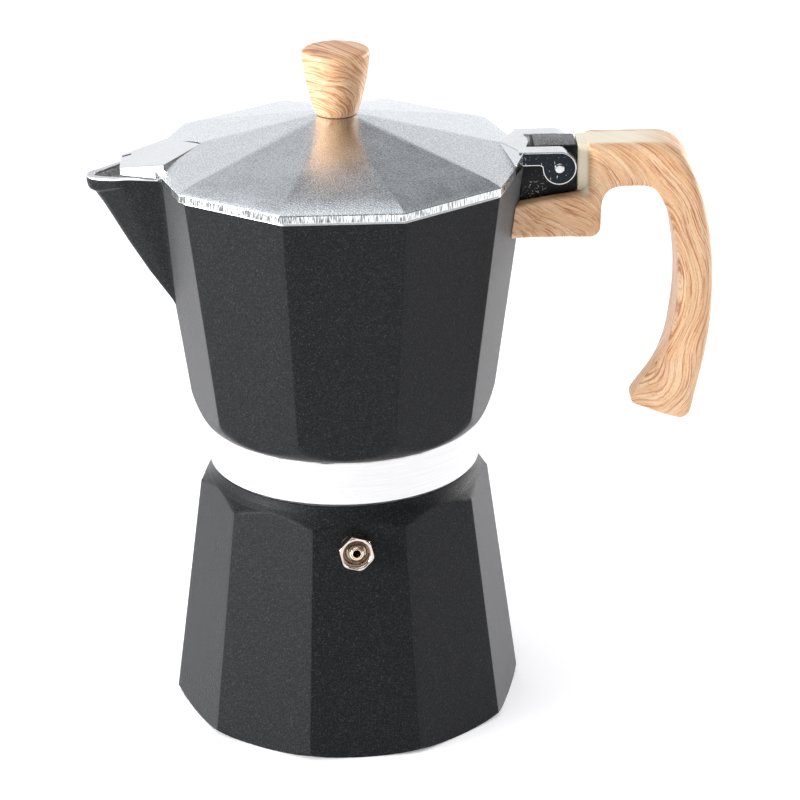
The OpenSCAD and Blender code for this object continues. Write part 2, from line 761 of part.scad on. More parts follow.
bar_z = handle_top - bar_t;
grip_in_x = grip_x - grip_t;
grip_mid_z = 127.3;
handle_from_x = lug_low_x - 10;   // inside the collector's wall
back_x = grip_x - grip_back_r;
back_low = -asin((grip_mid_z - grip_end - 2.2) / grip_back_r);
back_high = asin((handle_top - 11.4 - grip_mid_z) / grip_back_r);
back_top = [back_x + grip_back_r * cos(back_high), handle_top - 11.4];

module handle_side() {
    polygon(concat(
        [[handle_from_x, block_z]],
        arc(block_x - 2.8, block_z + 2.8, 2.8, -90, 0, 4),
        arc(block_x + 5.4, bar_z - 5.4, 5.4, 180, 90, 6),
        curve([grip_in_x - 10.3, bar_z], [grip_in_x - 3.8, bar_z],
              [grip_in_x - 0.4, bar_z - 12], [grip_in_x, bar_z - 29], 8),
        curve([grip_in_x, bar_z - 29.2], [grip_in_x, bar_z - 41], [grip_in_x - 1.9, bar_z - 54.5],
              [grip_in_x - 12.1, grip_end + 6], 8),
        bend([grip_in_x - 12.5, grip_end + 4.9], [grip_in_x - 13, grip_end + 3],
             [grip_in_x - 10.2, grip_end + 2.5], 4),
        bend([grip_x - 9, grip_end + 0.2], [grip_x - 7, grip_end - 0.2], [grip_x - 6.1, grip_end + 1.8], 4),
        arc(back_x, grip_mid_z, grip_back_r, back_low, back_high, 12),
        bend(back_top, [back_top[0] - 3, handle_top - 0.6], [back_top[0] - 11, handle_top], 6),
        [[handle_from_x, handle_top]]));
}

module handle_screw_hole(r, z_low, z_high) {
    translate([handle_screw_x, 0, z_low]) cylinder(r = r, h = z_high - z_low, $fn = 48);
}

screw_seat_z = block_z + 2.4;

module handle() color("#d9a877") {
    difference() {
        minkowski() {
            rotate([90, 0, 0]) linear_extrude(handle_w - 2 * handle_round, center = true)
                offset(delta = -handle_round) handle_side();
            sphere(r = handle_round, $fn = 20);
        }
        // the collector's wall
        ten_sided(
            collector_corner(block_z - 20) + handle_gap / cos(half_side),
            collector_corner(rim_z + 30) + handle_gap / cos(half_side),
            block_z - 20, rim_z + 30);
        // room for the lug, the ears and the lid above it
        translate([0, -reach / 2, 0]) rotate([90, 0, 0]) translate([0, 0, -reach])
            linear_extrude(reach) polygon([
                [handle_from_x, lug_low_z - handle_gap - 0.16 * (lug_low_x - handle_from_x)],
                [lug_out_x + handle_gap, lug_end_z - handle_gap],
                [lug_out_x + handle_gap, handle_top + 5], [handle_from_x, handle_top + 5]]);
        // relief beside the tongue
        for (side = [-1, 1])
            translate([0, side * (lug_w + 10), 0]) rotate([90, 0, 0])
                linear_extrude(20, center = true) polygon(concat(
                    [[hinge_x, lug_end_z], [relief_x - 3.2, lug_end_z]],
                    arc(relief_x - 3, lug_end_z + 3, 3, -90, 0, 4),
                    [[relief_x, handle_top + 5], [hinge_x, handle_top + 5]]));
        // the tang's socket
        translate([tang_x[0] - handle_gap, -tang_w - handle_gap, tang_z - handle_gap])
            cube([tang_x[1] - tang_x[0] + 2 * handle_gap, 2 * (tang_w + handle_gap), reach / 4]);
        handle_screw_hole(handle_screw_r + 0.15, block_z - 1, tang_z + 1);
        handle_screw_hole(handle_head_r + 0.2, block_z - 1, screw_seat_z);
    }
}

module handle_screw() color("#c4c8cc") {
    difference() {
        union() {
            handle_screw_hole(handle_head_r, block_z + 0.2, screw_seat_z - touch);
            handle_screw_hole(handle_screw_r, screw_seat_z - 0.2, tang_z + tang_h);
        }
        for (turn = [0, 90]) translate([handle_screw_x, 0, 0]) rotate([0, 0, turn])
            translate([-2, -0.4, block_z]) cube([4, 0.8, 1.4]);
    }
}

boiler();
valve_body();
valve_washer();
valve_pin();
valve_spring();
valve_seat();
funnel();
funnel_sieve();
gasket();
filter_plate();
collector();
riser_column();
lid();
hinge_pin();
knob();
knob_insert();
knob_screw();
knob_washer();
handle();
handle_screw();
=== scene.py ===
"""Dresses the moka pot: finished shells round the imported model, materials, floor, light and camera."""

from math import atan, atan2, cos, dist, hypot, pi, radians, sin, sqrt, tan

import bmesh
import bpy
from mathutils import Matrix, Vector
from mathutils.bvhtree import BVHTree
from mathutils.geometry import delaunay_2d_cdt


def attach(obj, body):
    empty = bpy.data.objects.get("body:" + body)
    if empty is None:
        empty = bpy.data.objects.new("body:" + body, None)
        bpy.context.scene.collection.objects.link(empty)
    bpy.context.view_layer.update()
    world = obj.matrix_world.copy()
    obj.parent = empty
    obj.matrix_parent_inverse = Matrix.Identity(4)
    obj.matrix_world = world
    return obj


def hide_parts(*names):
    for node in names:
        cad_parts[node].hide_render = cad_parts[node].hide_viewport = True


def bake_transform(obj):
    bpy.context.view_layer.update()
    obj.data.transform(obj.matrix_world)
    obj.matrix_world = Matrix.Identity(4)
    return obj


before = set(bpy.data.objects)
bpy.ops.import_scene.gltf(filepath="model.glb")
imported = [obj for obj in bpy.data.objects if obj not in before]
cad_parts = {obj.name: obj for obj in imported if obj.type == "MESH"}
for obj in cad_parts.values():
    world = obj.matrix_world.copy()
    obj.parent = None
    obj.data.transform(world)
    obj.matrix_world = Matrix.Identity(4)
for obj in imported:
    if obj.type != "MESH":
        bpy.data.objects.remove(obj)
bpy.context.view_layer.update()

MM = 0.001
SIDES = 10
HALF = pi / SIDES
TAN_HALF = tan(HALF)

# -------- sizes, in millimetres

BOILER_R, BOILER_TAPER, BOILER_TURN = 52.25, 0.135, radians(4.2)
FOOT_R, FLOOR_T = 49.4, 3.5
LEDGE_Z, LEDGE_R, NECK_R, THREAD_R = 75.7, 38.9, 35.6, 36.4
MOUTH_Z, MOUTH_R, THREAD_PITCH = 84.0, 33.0, 3.0

COLLECTOR_R, COLLECTOR_TAPER, RIM_Z = 54.2, 0.1358, 166.0
SKIRT_R, SKIRT_Z, BAND_TOP = 39.8, 76.5, 89.7
ROUND_H, ROUND_POWER = 7.4, 1.58
WALL, LEAN_Z = 2.5, 156

LIP_X, LIP_R, LIP_Z, SPOUT_WALL = 72.1, 4.5, 164.6, 2.0
LID_X, LID_R, LID_Z, SEAT_Z, SEAT_R = -0.6, 55.3, 166.3, 181.2, 6.4
HINGE_X, HINGE_Z, EAR_R, EAR_IN, EAR_OUT = 62.2, 166.9, 4.9, 5.7, 11.6
LUG_W = 5.4
KNOB_Z = 181.25
HANDLE_W, HANDLE_TOP, BLOCK_END = 19.0, 172.3, (71.5, 147.8)
VALVE_Z, VALVE_SHIFT = 63.4, -1.2


def boiler_corner(z):
    return BOILER_R - BOILER_TAPER * z


def collector_corner(z):
    return COLLECTOR_R - COLLECTOR_TAPER * (RIM_Z - z)


# -------- curves and outlines


def smoothstep(a, b, x):
    t = min(1.0, max(0.0, (x - a) / (b - a)))
    return t * t * (3 - 2 * t)


def soft_min(a, b, k):
    h = max(0.0, min(1.0, 0.5 + 0.5 * (b - a) / k))
    return b * (1 - h) + a * h - k * h * (1 - h)


def soft_max(a, b, k):
    return -soft_min(-a, -b, k)


def between(points, z):
    """The value at z of a list of (z, value) points in rising z."""
    for (z0, v0), (z1, v1) in zip(points, points[1:]):
        if z <= z1:
            return v0 + (v1 - v0) * max(0.0, z - z0) / (z1 - z0)
    return points[-1][1]


def spread(start, stop, count):
    return [start + (stop - start) * i / (count - 1) for i in range(count)]


def arc(cx, cy, r, a0, a1, count):
    return [(cx + r * cos(a), cy + r * sin(a)) for a in spread(radians(a0), radians(a1), count)]


def circle(x, y, r, count):
    return [(x + r * cos(a), y + r * sin(a)) for a in (2 * pi * i / count for i in range(count))]


def sides_of(outline):
    """The two ends of each side of a closed outline."""
    return zip(outline, outline[1:] + outline[:1])


def smooth_curve(points, per_span=5):
    """A Catmull-Rom curve through the points."""
    ends = [points[0]] + list(points) + [points[-1]]
    made = []
    for p0, p1, p2, p3 in zip(ends, ends[1:], ends[2:], ends[3:]):
        for i in range(per_span):
            t = i / per_span
            made.append(tuple(
                0.5 * (2 * b + (c - a) * t + (2 * a - 5 * b + 4 * c - d) * t * t
                       + (3 * b - a - 3 * c + d) * t ** 3)
                for a, b, c, d in zip(p0, p1, p2, p3)))
    made.append(tuple(points[-1]))
    return made


# -------- meshes


def skin(rings, closed=False, capped=True):
    """Quads over rings of equal length, given round and upwards for an outer side.
    closed joins the last ring to the first; otherwise capped gives both a fan."""
    count = len(rings[0])
    verts = [p for ring in rings for p in ring]
    faces = []
    last = len(rings) if closed else len(rings) - 1
    for i in range(last):
        k = (i + 1) % len(rings)
        for j in range(count):
            n = (j + 1) % count
            faces.append((i * count + j, i * count + n, k * count + n, k * count + j))
    for row, flip in ((0, True), (len(rings) - 1, False)) if capped and not closed else ():
        verts.append(tuple(sum(p[a] for p in rings[row]) / count for a in range(3)))
        for j in range(count):
            a, b = row * count + j, row * count + (j + 1) % count
            faces.append((len(verts) - 1, b, a) if flip else (len(verts) - 1, a, b))
    return verts, faces


def add_object(name, data):
    obj = bpy.data.objects.new(name, data)
    bpy.context.scene.collection.objects.link(obj)
    return obj


def new_mesh(name, verts, faces, materials):
    """A mesh from millimetre points."""
    mesh = bpy.data.meshes.new(name)
    mesh.from_pydata([Vector(v) * MM for v in verts], [], faces)
    for material in materials:
        mesh.materials.append(material)
    return mesh


def mesh_object(name, verts, faces, materials, uv=None, smooth=40):
    """A finished object from millimetre points. uv(point) gives the wood grain's coordinates."""
    mesh = new_mesh(name, verts, faces, materials)
    mesh.validate()
    if uv:
        layer = mesh.uv_layers.new(name="grain")
        for loop in mesh.loops:
            layer.data[loop.index].uv = uv(mesh.vertices[loop.vertex_index].co / MM)
    obj = add_object(name, mesh)
    shade(obj, smooth)
    return obj


def shade(obj, angle):
    """Smooth shading, with edges over the angle kept sharp."""
    mesh = obj.data
    mesh.polygons.foreach_set("use_smooth", [True] * len(mesh.polygons))
    bm = bmesh.new()
    bm.from_mesh(mesh)
    limit = radians(angle)
    for edge in bm.edges:
        edge.smooth = not (len(edge.link_faces) == 2 and edge.calc_face_angle(0) > limit)
    bm.to_mesh(mesh)
    bm.free()


def turn_outwards(mesh):
    bm = bmesh.new()
    bm.from_mesh(mesh)
    bmesh.ops.recalc_face_normals(bm, faces=bm.faces)
    bm.to_mesh(mesh)
    bm.free()


def paint_rows(obj, count, rows, pick):
    """Gives each face of a skin the material that pick(row) says. The closing fans take the end rows'."""
    for index, face in enumerate(obj.data.polygons):
        if index < (rows - 1) * count:
            row = index // count
        else:
            row = 0 if index < rows * count else rows - 1
        face.material_index = pick(row)


def modify(obj, kind, **settings):
    """Applies a modifier of this kind."""
    modifier = obj.modifiers.new(kind, kind)
    for key, value in settings.items():
        setattr(modifier, key, value)
    dg = bpy.context.evaluated_depsgraph_get()
    mesh = bpy.data.meshes.new_from_object(obj.evaluated_get(dg))
    obj.modifiers.clear()
    obj.data = mesh
    return obj


def cut(obj, tools, operation="DIFFERENCE"):
    """Cuts or joins an object with others, which are then removed."""
    for tool in tools:
        modify(obj, "BOOLEAN", operation=operation, solver="EXACT", object=tool)
        bpy.data.objects.remove(tool)


def bevel(obj, width, angle):
    return modify(obj, "BEVEL", width=width * MM, segments=3, limit_method="ANGLE",
                  angle_limit=radians(angle))


def hull_mesh(points):
    bm = bmesh.new()
    for p in points:
        bm.verts.new(p)
    bmesh.ops.convex_hull(bm, input=bm.verts)
    bmesh.ops.delete(bm, geom=[v for v in bm.verts if not v.link_faces], context="VERTS")
    bmesh.ops.recalc_face_normals(bm, faces=bm.faces)
    return bm


def hull_object(name, points):
    mesh = bpy.data.meshes.new(name)
    hull_mesh([Vector(p) * MM for p in points]).to_mesh(mesh)
    return add_object(name, mesh)


def prism(name, outline, axis, low, high, materials=()):
    """An outline extruded along z (outline in x, y) or along y (outline in x, z)."""
    count = len(outline)
    if axis == "z":
        verts = [(x, y, z) for z in (low, high) for x, y in outline]
    else:
        verts = [(x, y, z) for y in (low, high) for x, z in outline]
    faces = [tuple(range(count)), tuple(range(count, 2 * count))]
    faces += [(i, (i + 1) % count, count + (i + 1) % count, count + i) for i in range(count)]
    mesh = new_mesh(name, verts, faces, materials)
    turn_outwards(mesh)
    return add_object(name, mesh)


def turned(name, profile, material, steps, x=0.0, uv=None, smooth=35):
    """A solid of revolution about an upright line at x, from (r, z) points that start at the bottom axis."""
    rings = [[(*p, z) for p in circle(x, 0, r, steps)] for r, z in profile]
    return mesh_object(name, *skin(rings), [material], uv, smooth)


# -------- materials


class Nodes:
    """Short names for building a node tree."""

    def __init__(self, block, shader, coordinates="Object"):
        block.use_nodes = True
        self.block, self.tree = block, block.node_tree
        self.shader = self.tree.nodes[shader]
        self.place = self.new("ShaderNodeTexCoord").outputs[coordinates]

    def new(self, kind, source=None, **values):
        """A node with these settings or inputs. source is linked to its first input."""
        node = self.tree.nodes.new(kind)
        if source is not None:
            self.feed(node.inputs[0], source)
        for key, value in values.items():
            if hasattr(node, key):
                setattr(node, key, value)
            else:
                node.inputs[key.replace("_", " ")].default_value = value
        return node

    def feed(self, socket, value):
        """Links a socket to an output, or sets it to a number or a colour."""
        if isinstance(value, (int, float)):
            socket.default_value = value
        elif isinstance(value, tuple):
            socket.default_value = (*value, 1)
        else:
            self.tree.links.new(value, socket)

    def put(self, **values):
        for key, value in values.items():
            self.shader.inputs[key.replace("_", " ")].default_value = value

    def split(self, vector):
        return self.new("ShaderNodeSeparateXYZ", vector).outputs

    def stretch(self, vector, scale, turn=(0, 0, 0), move=(0, 0, 0)):
        return self.new("ShaderNodeMapping", vector, Scale=scale, Rotation=turn, Location=move).outputs[0]

    def noise(self, scale, detail=2.0, rough=0.5, vector=None):
        """Noise over the block's own coordinates, or over the vector."""
        return self.new("ShaderNodeTexNoise", self.place if vector is None else vector,
                        Scale=scale, Detail=detail, Roughness=rough).outputs["Fac"]

    def math(self, operation, a, b=0.0):
        node = self.new("ShaderNodeMath", a, operation=operation)
        self.feed(node.inputs[1], b)
        return node.outputs[0]

    def add(self, a, b):
        return self.math("ADD", a, b)

    def times(self, a, b):
        return self.math("MULTIPLY", a, b)

    def ramp(self, value, stops):
        node = self.new("ShaderNodeValToRGB", value)
        elements = node.color_ramp.elements
        while len(elements) < len(stops):
            elements.new(0.5)
        for element, (at, colour) in zip(elements, stops):
            element.position = at
            element.color = (*colour, 1)
        return node.outputs["Color"]

    def remap(self, value, low, high, to_low=0.0, to_high=1.0):
        return self.new("ShaderNodeMapRange", value, From_Min=low, From_Max=high,
                        To_Min=to_low, To_Max=to_high).outputs["Result"]

    def vary(self, noise, low=0.0, high=1.0):
        """Noise, most of which lies between 0.3 and 0.7, taken to a range."""
        return self.remap(noise, 0.3, 0.7, low, high)

    def mix(self, factor, a, b, blend="MIX"):
        node = self.new("ShaderNodeMix", factor, data_type="RGBA", blend_type=blend)
        self.feed(node.inputs[6], a)
        self.feed(node.inputs[7], b)
        return node.outputs[2]

    def bump(self, height, distance, strength=1.0):
        node = self.new("ShaderNodeBump", Strength=strength, Distance=distance * MM)
        self.feed(node.inputs["Height"], height)
        return node.outputs["Normal"]

    def finish(self, colour, rough=None, normal=None, metal=None):
        names = ("Base Color", "Roughness", "Normal", "Metallic")
        for name, value in zip(names, (colour, rough, normal, metal)):
            if value is not None:
                self.feed(self.shader.inputs[name], value)
        return self.block


def new_material(name):
    return Nodes(bpy.data.materials.new(name), "Principled BSDF")


COAT = (0.0025, 0.003, 0.004)
COAT_GRAIN = (0.0145, 0.016, 0.018)
COAT_FLECK = (0.075, 0.078, 0.082)
BARE = (0.72, 0.72, 0.73)
BAND_DARK, BAND_BRIGHT, BAND_STAIN = (0.70, 0.70, 0.70), (0.78, 0.78, 0.79), (0.42, 0.36, 0.30)
CAST_BLACK, CAST_NICK = (0.004, 0.0045, 0.0055), (0.7, 0.71, 0.72)
# painted light: the lug's upward faces are painted in these lighter greys
TOP_SHEEN_DARK, TOP_SHEEN_GREY = (0.05, 0.051, 0.053), (0.24, 0.24, 0.245)
EDGE_DARK, EDGE_GREY, EDGE_BRIGHT = (0.13, 0.14, 0.145), (0.40, 0.41, 0.41), (0.90, 0.91, 0.91)
# painted reflection: the ears' polished sides are painted near black
EAR_DARK_REFLECTION, EAR_NICK = (0.018, 0.021, 0.026), (0.75, 0.77, 0.78)


def coat_nodes(n):
    """Colour, roughness and normal of the sparkling black coat."""
    fine = n.noise(2000, 2.0, 0.7)
    flecks = n.noise(2900, 1.0)
    colour = n.mix(n.remap(fine, 0.45, 0.72), COAT, COAT_GRAIN)
    colour = n.mix(n.remap(flecks, 0.60, 0.72, 0.0, 0.5), colour, COAT_FLECK)
    n.put(IOR=1.25, Sheen_Weight=0.5, Sheen_Roughness=0.3)
    return colour, n.vary(flecks, 0.36, 0.62), n.bump(fine, 0.10)


def coat_material():
    n = new_material("black_coat")
    return n.finish(*coat_nodes(n))


def collector_material():
    """The coat, which ends in a thin uneven edge on the bare skirt."""
    n = new_material("coat_and_band")
    colour, rough, normal = coat_nodes(n)
    z = n.add(n.times(n.split(n.place)["Z"], 1000.0), n.vary(n.noise(160, 3.0, 0.6), -0.28, 0.28))
    coated = n.remap(z, BAND_TOP - 0.12, BAND_TOP + 0.06)
    stain = n.times(n.remap(z, BAND_TOP - 0.7, BAND_TOP - 0.1), 0.55)
    turned_marks = n.noise(1.0, vector=n.stretch(n.place, (60, 60, 4200)))
    skirt = n.mix(stain, n.mix(n.vary(turned_marks), BAND_DARK, BAND_BRIGHT), BAND_STAIN)
    uncoated = n.math("SUBTRACT", 1.0, coated)
    rough = n.add(n.times(rough, coated), n.times(uncoated, 0.34))
    return n.finish(n.mix(coated, skirt, colour), rough, normal, uncoated)


def bare_material():
    n = new_material("bare_aluminium")
    fine = n.noise(1500, 2.0, 0.6)
    broad = n.noise(45, 3.0)
    n.put(Metallic=1.0)
    return n.finish(n.mix(n.vary(broad), tuple(0.94 * c for c in BARE), BARE),
                    n.add(n.vary(fine, 0.315, 0.567), n.vary(broad, -0.02, 0.02)), n.bump(fine, 0.03, 0.8))


def lid_material(name, grain_height, low, high):
    """Sand-cast aluminium, rubbed bright, with fine bright and dark grains."""
    n = new_material(name)
    grains = n.noise(2500, 1.0)
    cloud = n.noise(130, 3.0, 0.55)
    scratch = n.noise(1.0, 1.0, vector=n.stretch(n.place, (2600, 90, 90), (0, 0, 0.7)))
    fleck = n.add(n.times(grains, 0.8), n.times(cloud, 0.2))
    height = n.add(grains, n.times(scratch, 0.3))
    n.put(Metallic=1.0)
    return n.finish(n.mix(n.remap(fleck, 0.40, 0.60), low, high), n.vary(cloud, 0.15, 0.24),
                    n.bump(height, grain_height, 0.9))


def cast_material():
    """The lug's coat: rougher than the body's, painted lighter grey on its upward faces as painted light from
    above, with bright nicks near one place.
    """
    nick_x, nick_z, reach_squared = 0.0555, 0.1585, 0.000035
    n = new_material("cast_coat")
    fine = n.noise(2200, 2.0, 0.7)
    x, _, z = n.split(n.place)
    across, upward = n.math("SUBTRACT", x, nick_x), n.math("SUBTRACT", z, nick_z)
    apart = n.add(n.times(across, across), n.times(upward, upward))
    nicks = n.add(n.noise(1300, 3.0, 0.75), n.remap(apart, 0.0, reach_squared, 0.10, 0.0))
    facing = n.split(n.new("ShaderNodeNewGeometry").outputs["True Normal"])["Z"]
    # painted light: faces that point up are painted lighter grey
    top_sheen = n.mix(n.remap(fine, 0.4, 0.6), TOP_SHEEN_DARK, TOP_SHEEN_GREY)
    colour = n.mix(n.remap(facing, 0.6, 0.9), CAST_BLACK, top_sheen)
    colour = n.mix(n.remap(nicks, 0.67, 0.74, 0.0, 0.9), colour, CAST_NICK)
    n.put(IOR=1.3)
    return n.finish(colour, n.vary(fine, 0.36, 0.5), n.bump(fine, 0.06))


def lid_edge_material():
    """The lid's upright edge, with fine upright tool marks that are darker than the metal, and painted shade
    that darkens it towards the spout, most on the facet beside the spout.
    """
    n = new_material("lid_edge")
    marks = n.noise(1.0, 1.0, 0.6, n.stretch(n.place, (3900, 3900, 380)))
    x = n.split(n.place)["X"]
    level = n.add(marks, n.remap(n.noise(120), 0.35, 0.65, -0.05, 0.05))
    # painted shade and light: the edge is painted darker towards the spout and lighter towards the hinge
    level = n.add(level, n.remap(x, -0.030, 0.045, -0.06, 0.08))
    # painted shade: the facet beside the spout is painted darker still
    level = n.math("SUBTRACT", level, n.remap(x, -0.0453, -0.0456, 0.0, 0.12))
    colour = n.ramp(level, [(0.38, EDGE_DARK), (0.48, EDGE_GREY), (0.58, EDGE_BRIGHT)])
    n.put(Metallic=1.0)
    return n.finish(colour, n.vary(marks, 0.24, 0.38), n.bump(marks, 0.03, 0.8))


def ear_material():
    """The flat sides of the hinge ears: polished metal painted near black as a painted dark reflection, with
    small bright nicks.
    """
    n = new_material("ear_face")
    nicks = n.noise(1500, 3.0, 0.7)
    long_nicks = n.noise(1.0, vector=n.stretch(n.place, (1400, 200, 500), (0, 0.6, 0)))
    bright = n.math("MAXIMUM", n.remap(nicks, 0.66, 0.74, 0.0, 0.8),
                    n.remap(long_nicks, 0.66, 0.74, 0.0, 0.5))
    n.put(Metallic=1.0)
    return n.finish(n.mix(bright, EAR_DARK_REFLECTION, EAR_NICK), n.vary(nicks, 0.14, 0.24), n.bump(nicks, 0.01, 0.5))


def plain_material(name, colour, rough, metal, grain, grain_height, spread_of=0.12):
    n = new_material(name)
    fine = n.noise(grain, 3.0, 0.55)
    low = tuple(c * (1 - spread_of) for c in colour)
    high = tuple(min(1.0, c * (1 + spread_of)) for c in colour)
    n.put(Metallic=metal)
    return n.finish(n.mix(n.vary(fine), low, high), n.vary(fine, rough * 0.8, rough * 1.2),
                    n.bump(fine, grain_height, 0.6))


WOOD_PALE = (0.82, 0.58, 0.362)
WOOD_MID = (0.73, 0.425, 0.22)
WOOD_DARK = (0.44, 0.155, 0.058)
CREAM = (0.85, 0.81, 0.64)


def wood_nodes(n, scale_u, scale_v, weakest, wider):
    """Colour, roughness and normal of printed grain: streaks along u, waved by slow noise, with fine
    dark threads. weakest is the threads' least strength and wider makes more of them."""
    along = n.new("ShaderNodeUVMap", uv_map="grain").outputs["UV"]
    slow = n.noise(1.0, 1.0, vector=n.stretch(along, (0.030 * scale_u, 0.05 * scale_v, 1)))
    u, v, _ = n.split(along)
    joined = n.new("ShaderNodeCombineXYZ", n.times(u, 0.018 * scale_u))
    n.feed(joined.inputs["Y"], n.times(n.add(v, n.times(slow, 13.0)), scale_v))
    waved = joined.outputs[0]
    bands = n.noise(0.42, 3.0, 0.6, waved)
    groups = n.noise(0.22, vector=n.stretch(waved, (1.5, 1.0, 1.0), (0, 0, 0), (3, 7, 0)))
    threads = n.noise(1.9, 3.0, 0.75, n.stretch(waved, (2.0, 1.0, 1.0)))
    pores = n.noise(5.5, 1.0, vector=n.stretch(waved, (10.0, 1.0, 1.0)))
    colour = n.ramp(bands, [(0.36, WOOD_PALE), (0.50, WOOD_MID), (0.56, WOOD_PALE), (0.66, WOOD_MID)])
    strength = n.remap(groups, 0.42, 0.58, weakest, 1.0)
    dark = n.times(n.remap(threads, 0.50 - wider, 0.60 - wider, 0.0, 0.9), strength)
    colour = n.mix(n.remap(pores, 0.56, 0.70, 0.0, 0.45), n.mix(dark, colour, WOOD_DARK), WOOD_DARK)
    n.put(IOR=1.46)
    return colour, n.vary(threads, 0.36, 0.48), n.bump(threads, 0.03, 0.4)


def handle_material():
    """Wood print that is left off the top of the handle and off the tongue beside the lug."""
    n = new_material("wood_print_handle")
    colour, rough, normal = wood_nodes(n, 1.0, 1.0, 0.3, 0.0)
    x, side, z = (n.times(output, 1000.0) for output in n.split(n.place))
    on_top = n.times(n.remap(z, 171.2, 172.0), n.remap(n.math("ABSOLUTE", side), 6.6, 4.6))
    on_top = n.times(on_top, n.remap(x, 101.0, 84.0))
    tongue = n.times(n.times(n.remap(x, 71.3, 70.6), n.remap(z, 157.6, 158.4)), n.remap(x, 67.4, 67.6))
    return n.finish(n.mix(n.times(n.math("MAXIMUM", on_top, tongue), 0.86), colour, CREAM), rough, normal)


def knob_material():
    n = new_material("wood_print_knob")
    return n.finish(*wood_nodes(n, 1.3, 1.1, 0.8, 0.03))


coat = coat_material()
coat_and_band = collector_material()
cast_coat = cast_material()
polished = lid_material("polished_lid", 0.075, (0.54, 0.58, 0.59), (0.76, 0.785, 0.785))
smooth_metal = lid_material("smooth_lid_metal", 0.012, (0.67, 0.69, 0.69), (0.74, 0.755, 0.75))
lid_edge = lid_edge_material()
ear_face = ear_material()
# painted light: the spout's inside is a lighter, non-metal copy of the bare aluminium, so that it reads as
# lit
lit_spout_metal = plain_material("lit_spout_metal", (0.80, 0.80, 0.78), 0.5, 0.0, 1600, 0.15, 0.5)
bare = bare_material()
steel = plain_material("steel", (0.60, 0.61, 0.62), 0.24, 1.0, 1200, 0.01)
nickel = plain_material("nickel", (0.64, 0.58, 0.51), 0.20, 1.0, 1500, 0.004)
# painted reflection: a darker copy of the nickel for the nut's dished face, standing in for its dark
# reflection
nickel_shaded_dish = plain_material("nickel_shaded_dish", (0.50, 0.45, 0.41), 0.14, 1.0, 1500, 0.004)
brass = plain_material("brass", (0.84, 0.69, 0.55), 0.20, 1.0, 1500, 0.008)
rubber = plain_material("gasket_rubber", (0.80, 0.78, 0.72), 0.75, 0.0, 700, 0.03)
# the washer's dark brown is its fibre colour and also painted shade round the foot of the nut
fibre_and_shade = plain_material("washer_fibre", (0.07, 0.04, 0.028), 0.7, 0.0, 900, 0.04)
wood_handle = handle_material()
wood_knob = knob_material()

# -------- decagon sections

PLAIN_FACE = [i / 13 for i in range(1, 13)]

# Places along a face, from 0 to 1, seen at these angles from its first corner
SPOUT_ANGLES = ([0.25 * i for i in range(1, 17)] + [4 + 0.5 * i for i in range(1, 25)]
                + [16 + 2 * i for i in range(1, 10)])
FROM_SPOUT = [(TAN_HALF + tan(radians(a) - HALF)) / (2 * TAN_HALF) for a in SPOUT_ANGLES]
TO_SPOUT = [1 - share for share in reversed(FROM_SPOUT)]
SPOUT_CORNER = 5


def rounded_polygon(sides, apothem, turn, rounding, steps, shares):
    """Points (x, y) round a regular polygon with rounded corners. shares(k) gives the places on face k."""
    half = pi / sides
    centre_r = (apothem - rounding) / cos(half)

    def corner(middle, b):
        return (centre_r * cos(middle) + rounding * cos(middle + b),
                centre_r * sin(middle) + rounding * sin(middle + b))

    points = []
    for k in range(sides):
        middle = turn + 2 * half * k
        points += [corner(middle, b) for b in spread(-half, half, steps)]
        start, stop = points[-1], corner(middle + 2 * half, -half)
        points += [tuple(a + (b - a) * share for a, b in zip(start, stop)) for share in shares(k)]
    return points


def section(corner_r, turn, rounding, faces=None):
    """Points round one of the pot's decagons. faces gives its own places to some faces."""
    return rounded_polygon(SIDES, corner_r * cos(HALF), turn, rounding, 7,
                           lambda k: (faces or {}).get(k, PLAIN_FACE))


def to_radius(point, radius):
    length = hypot(*point)
    return (point[0] * radius / length, point[1] * radius / length)


# -------- boiler


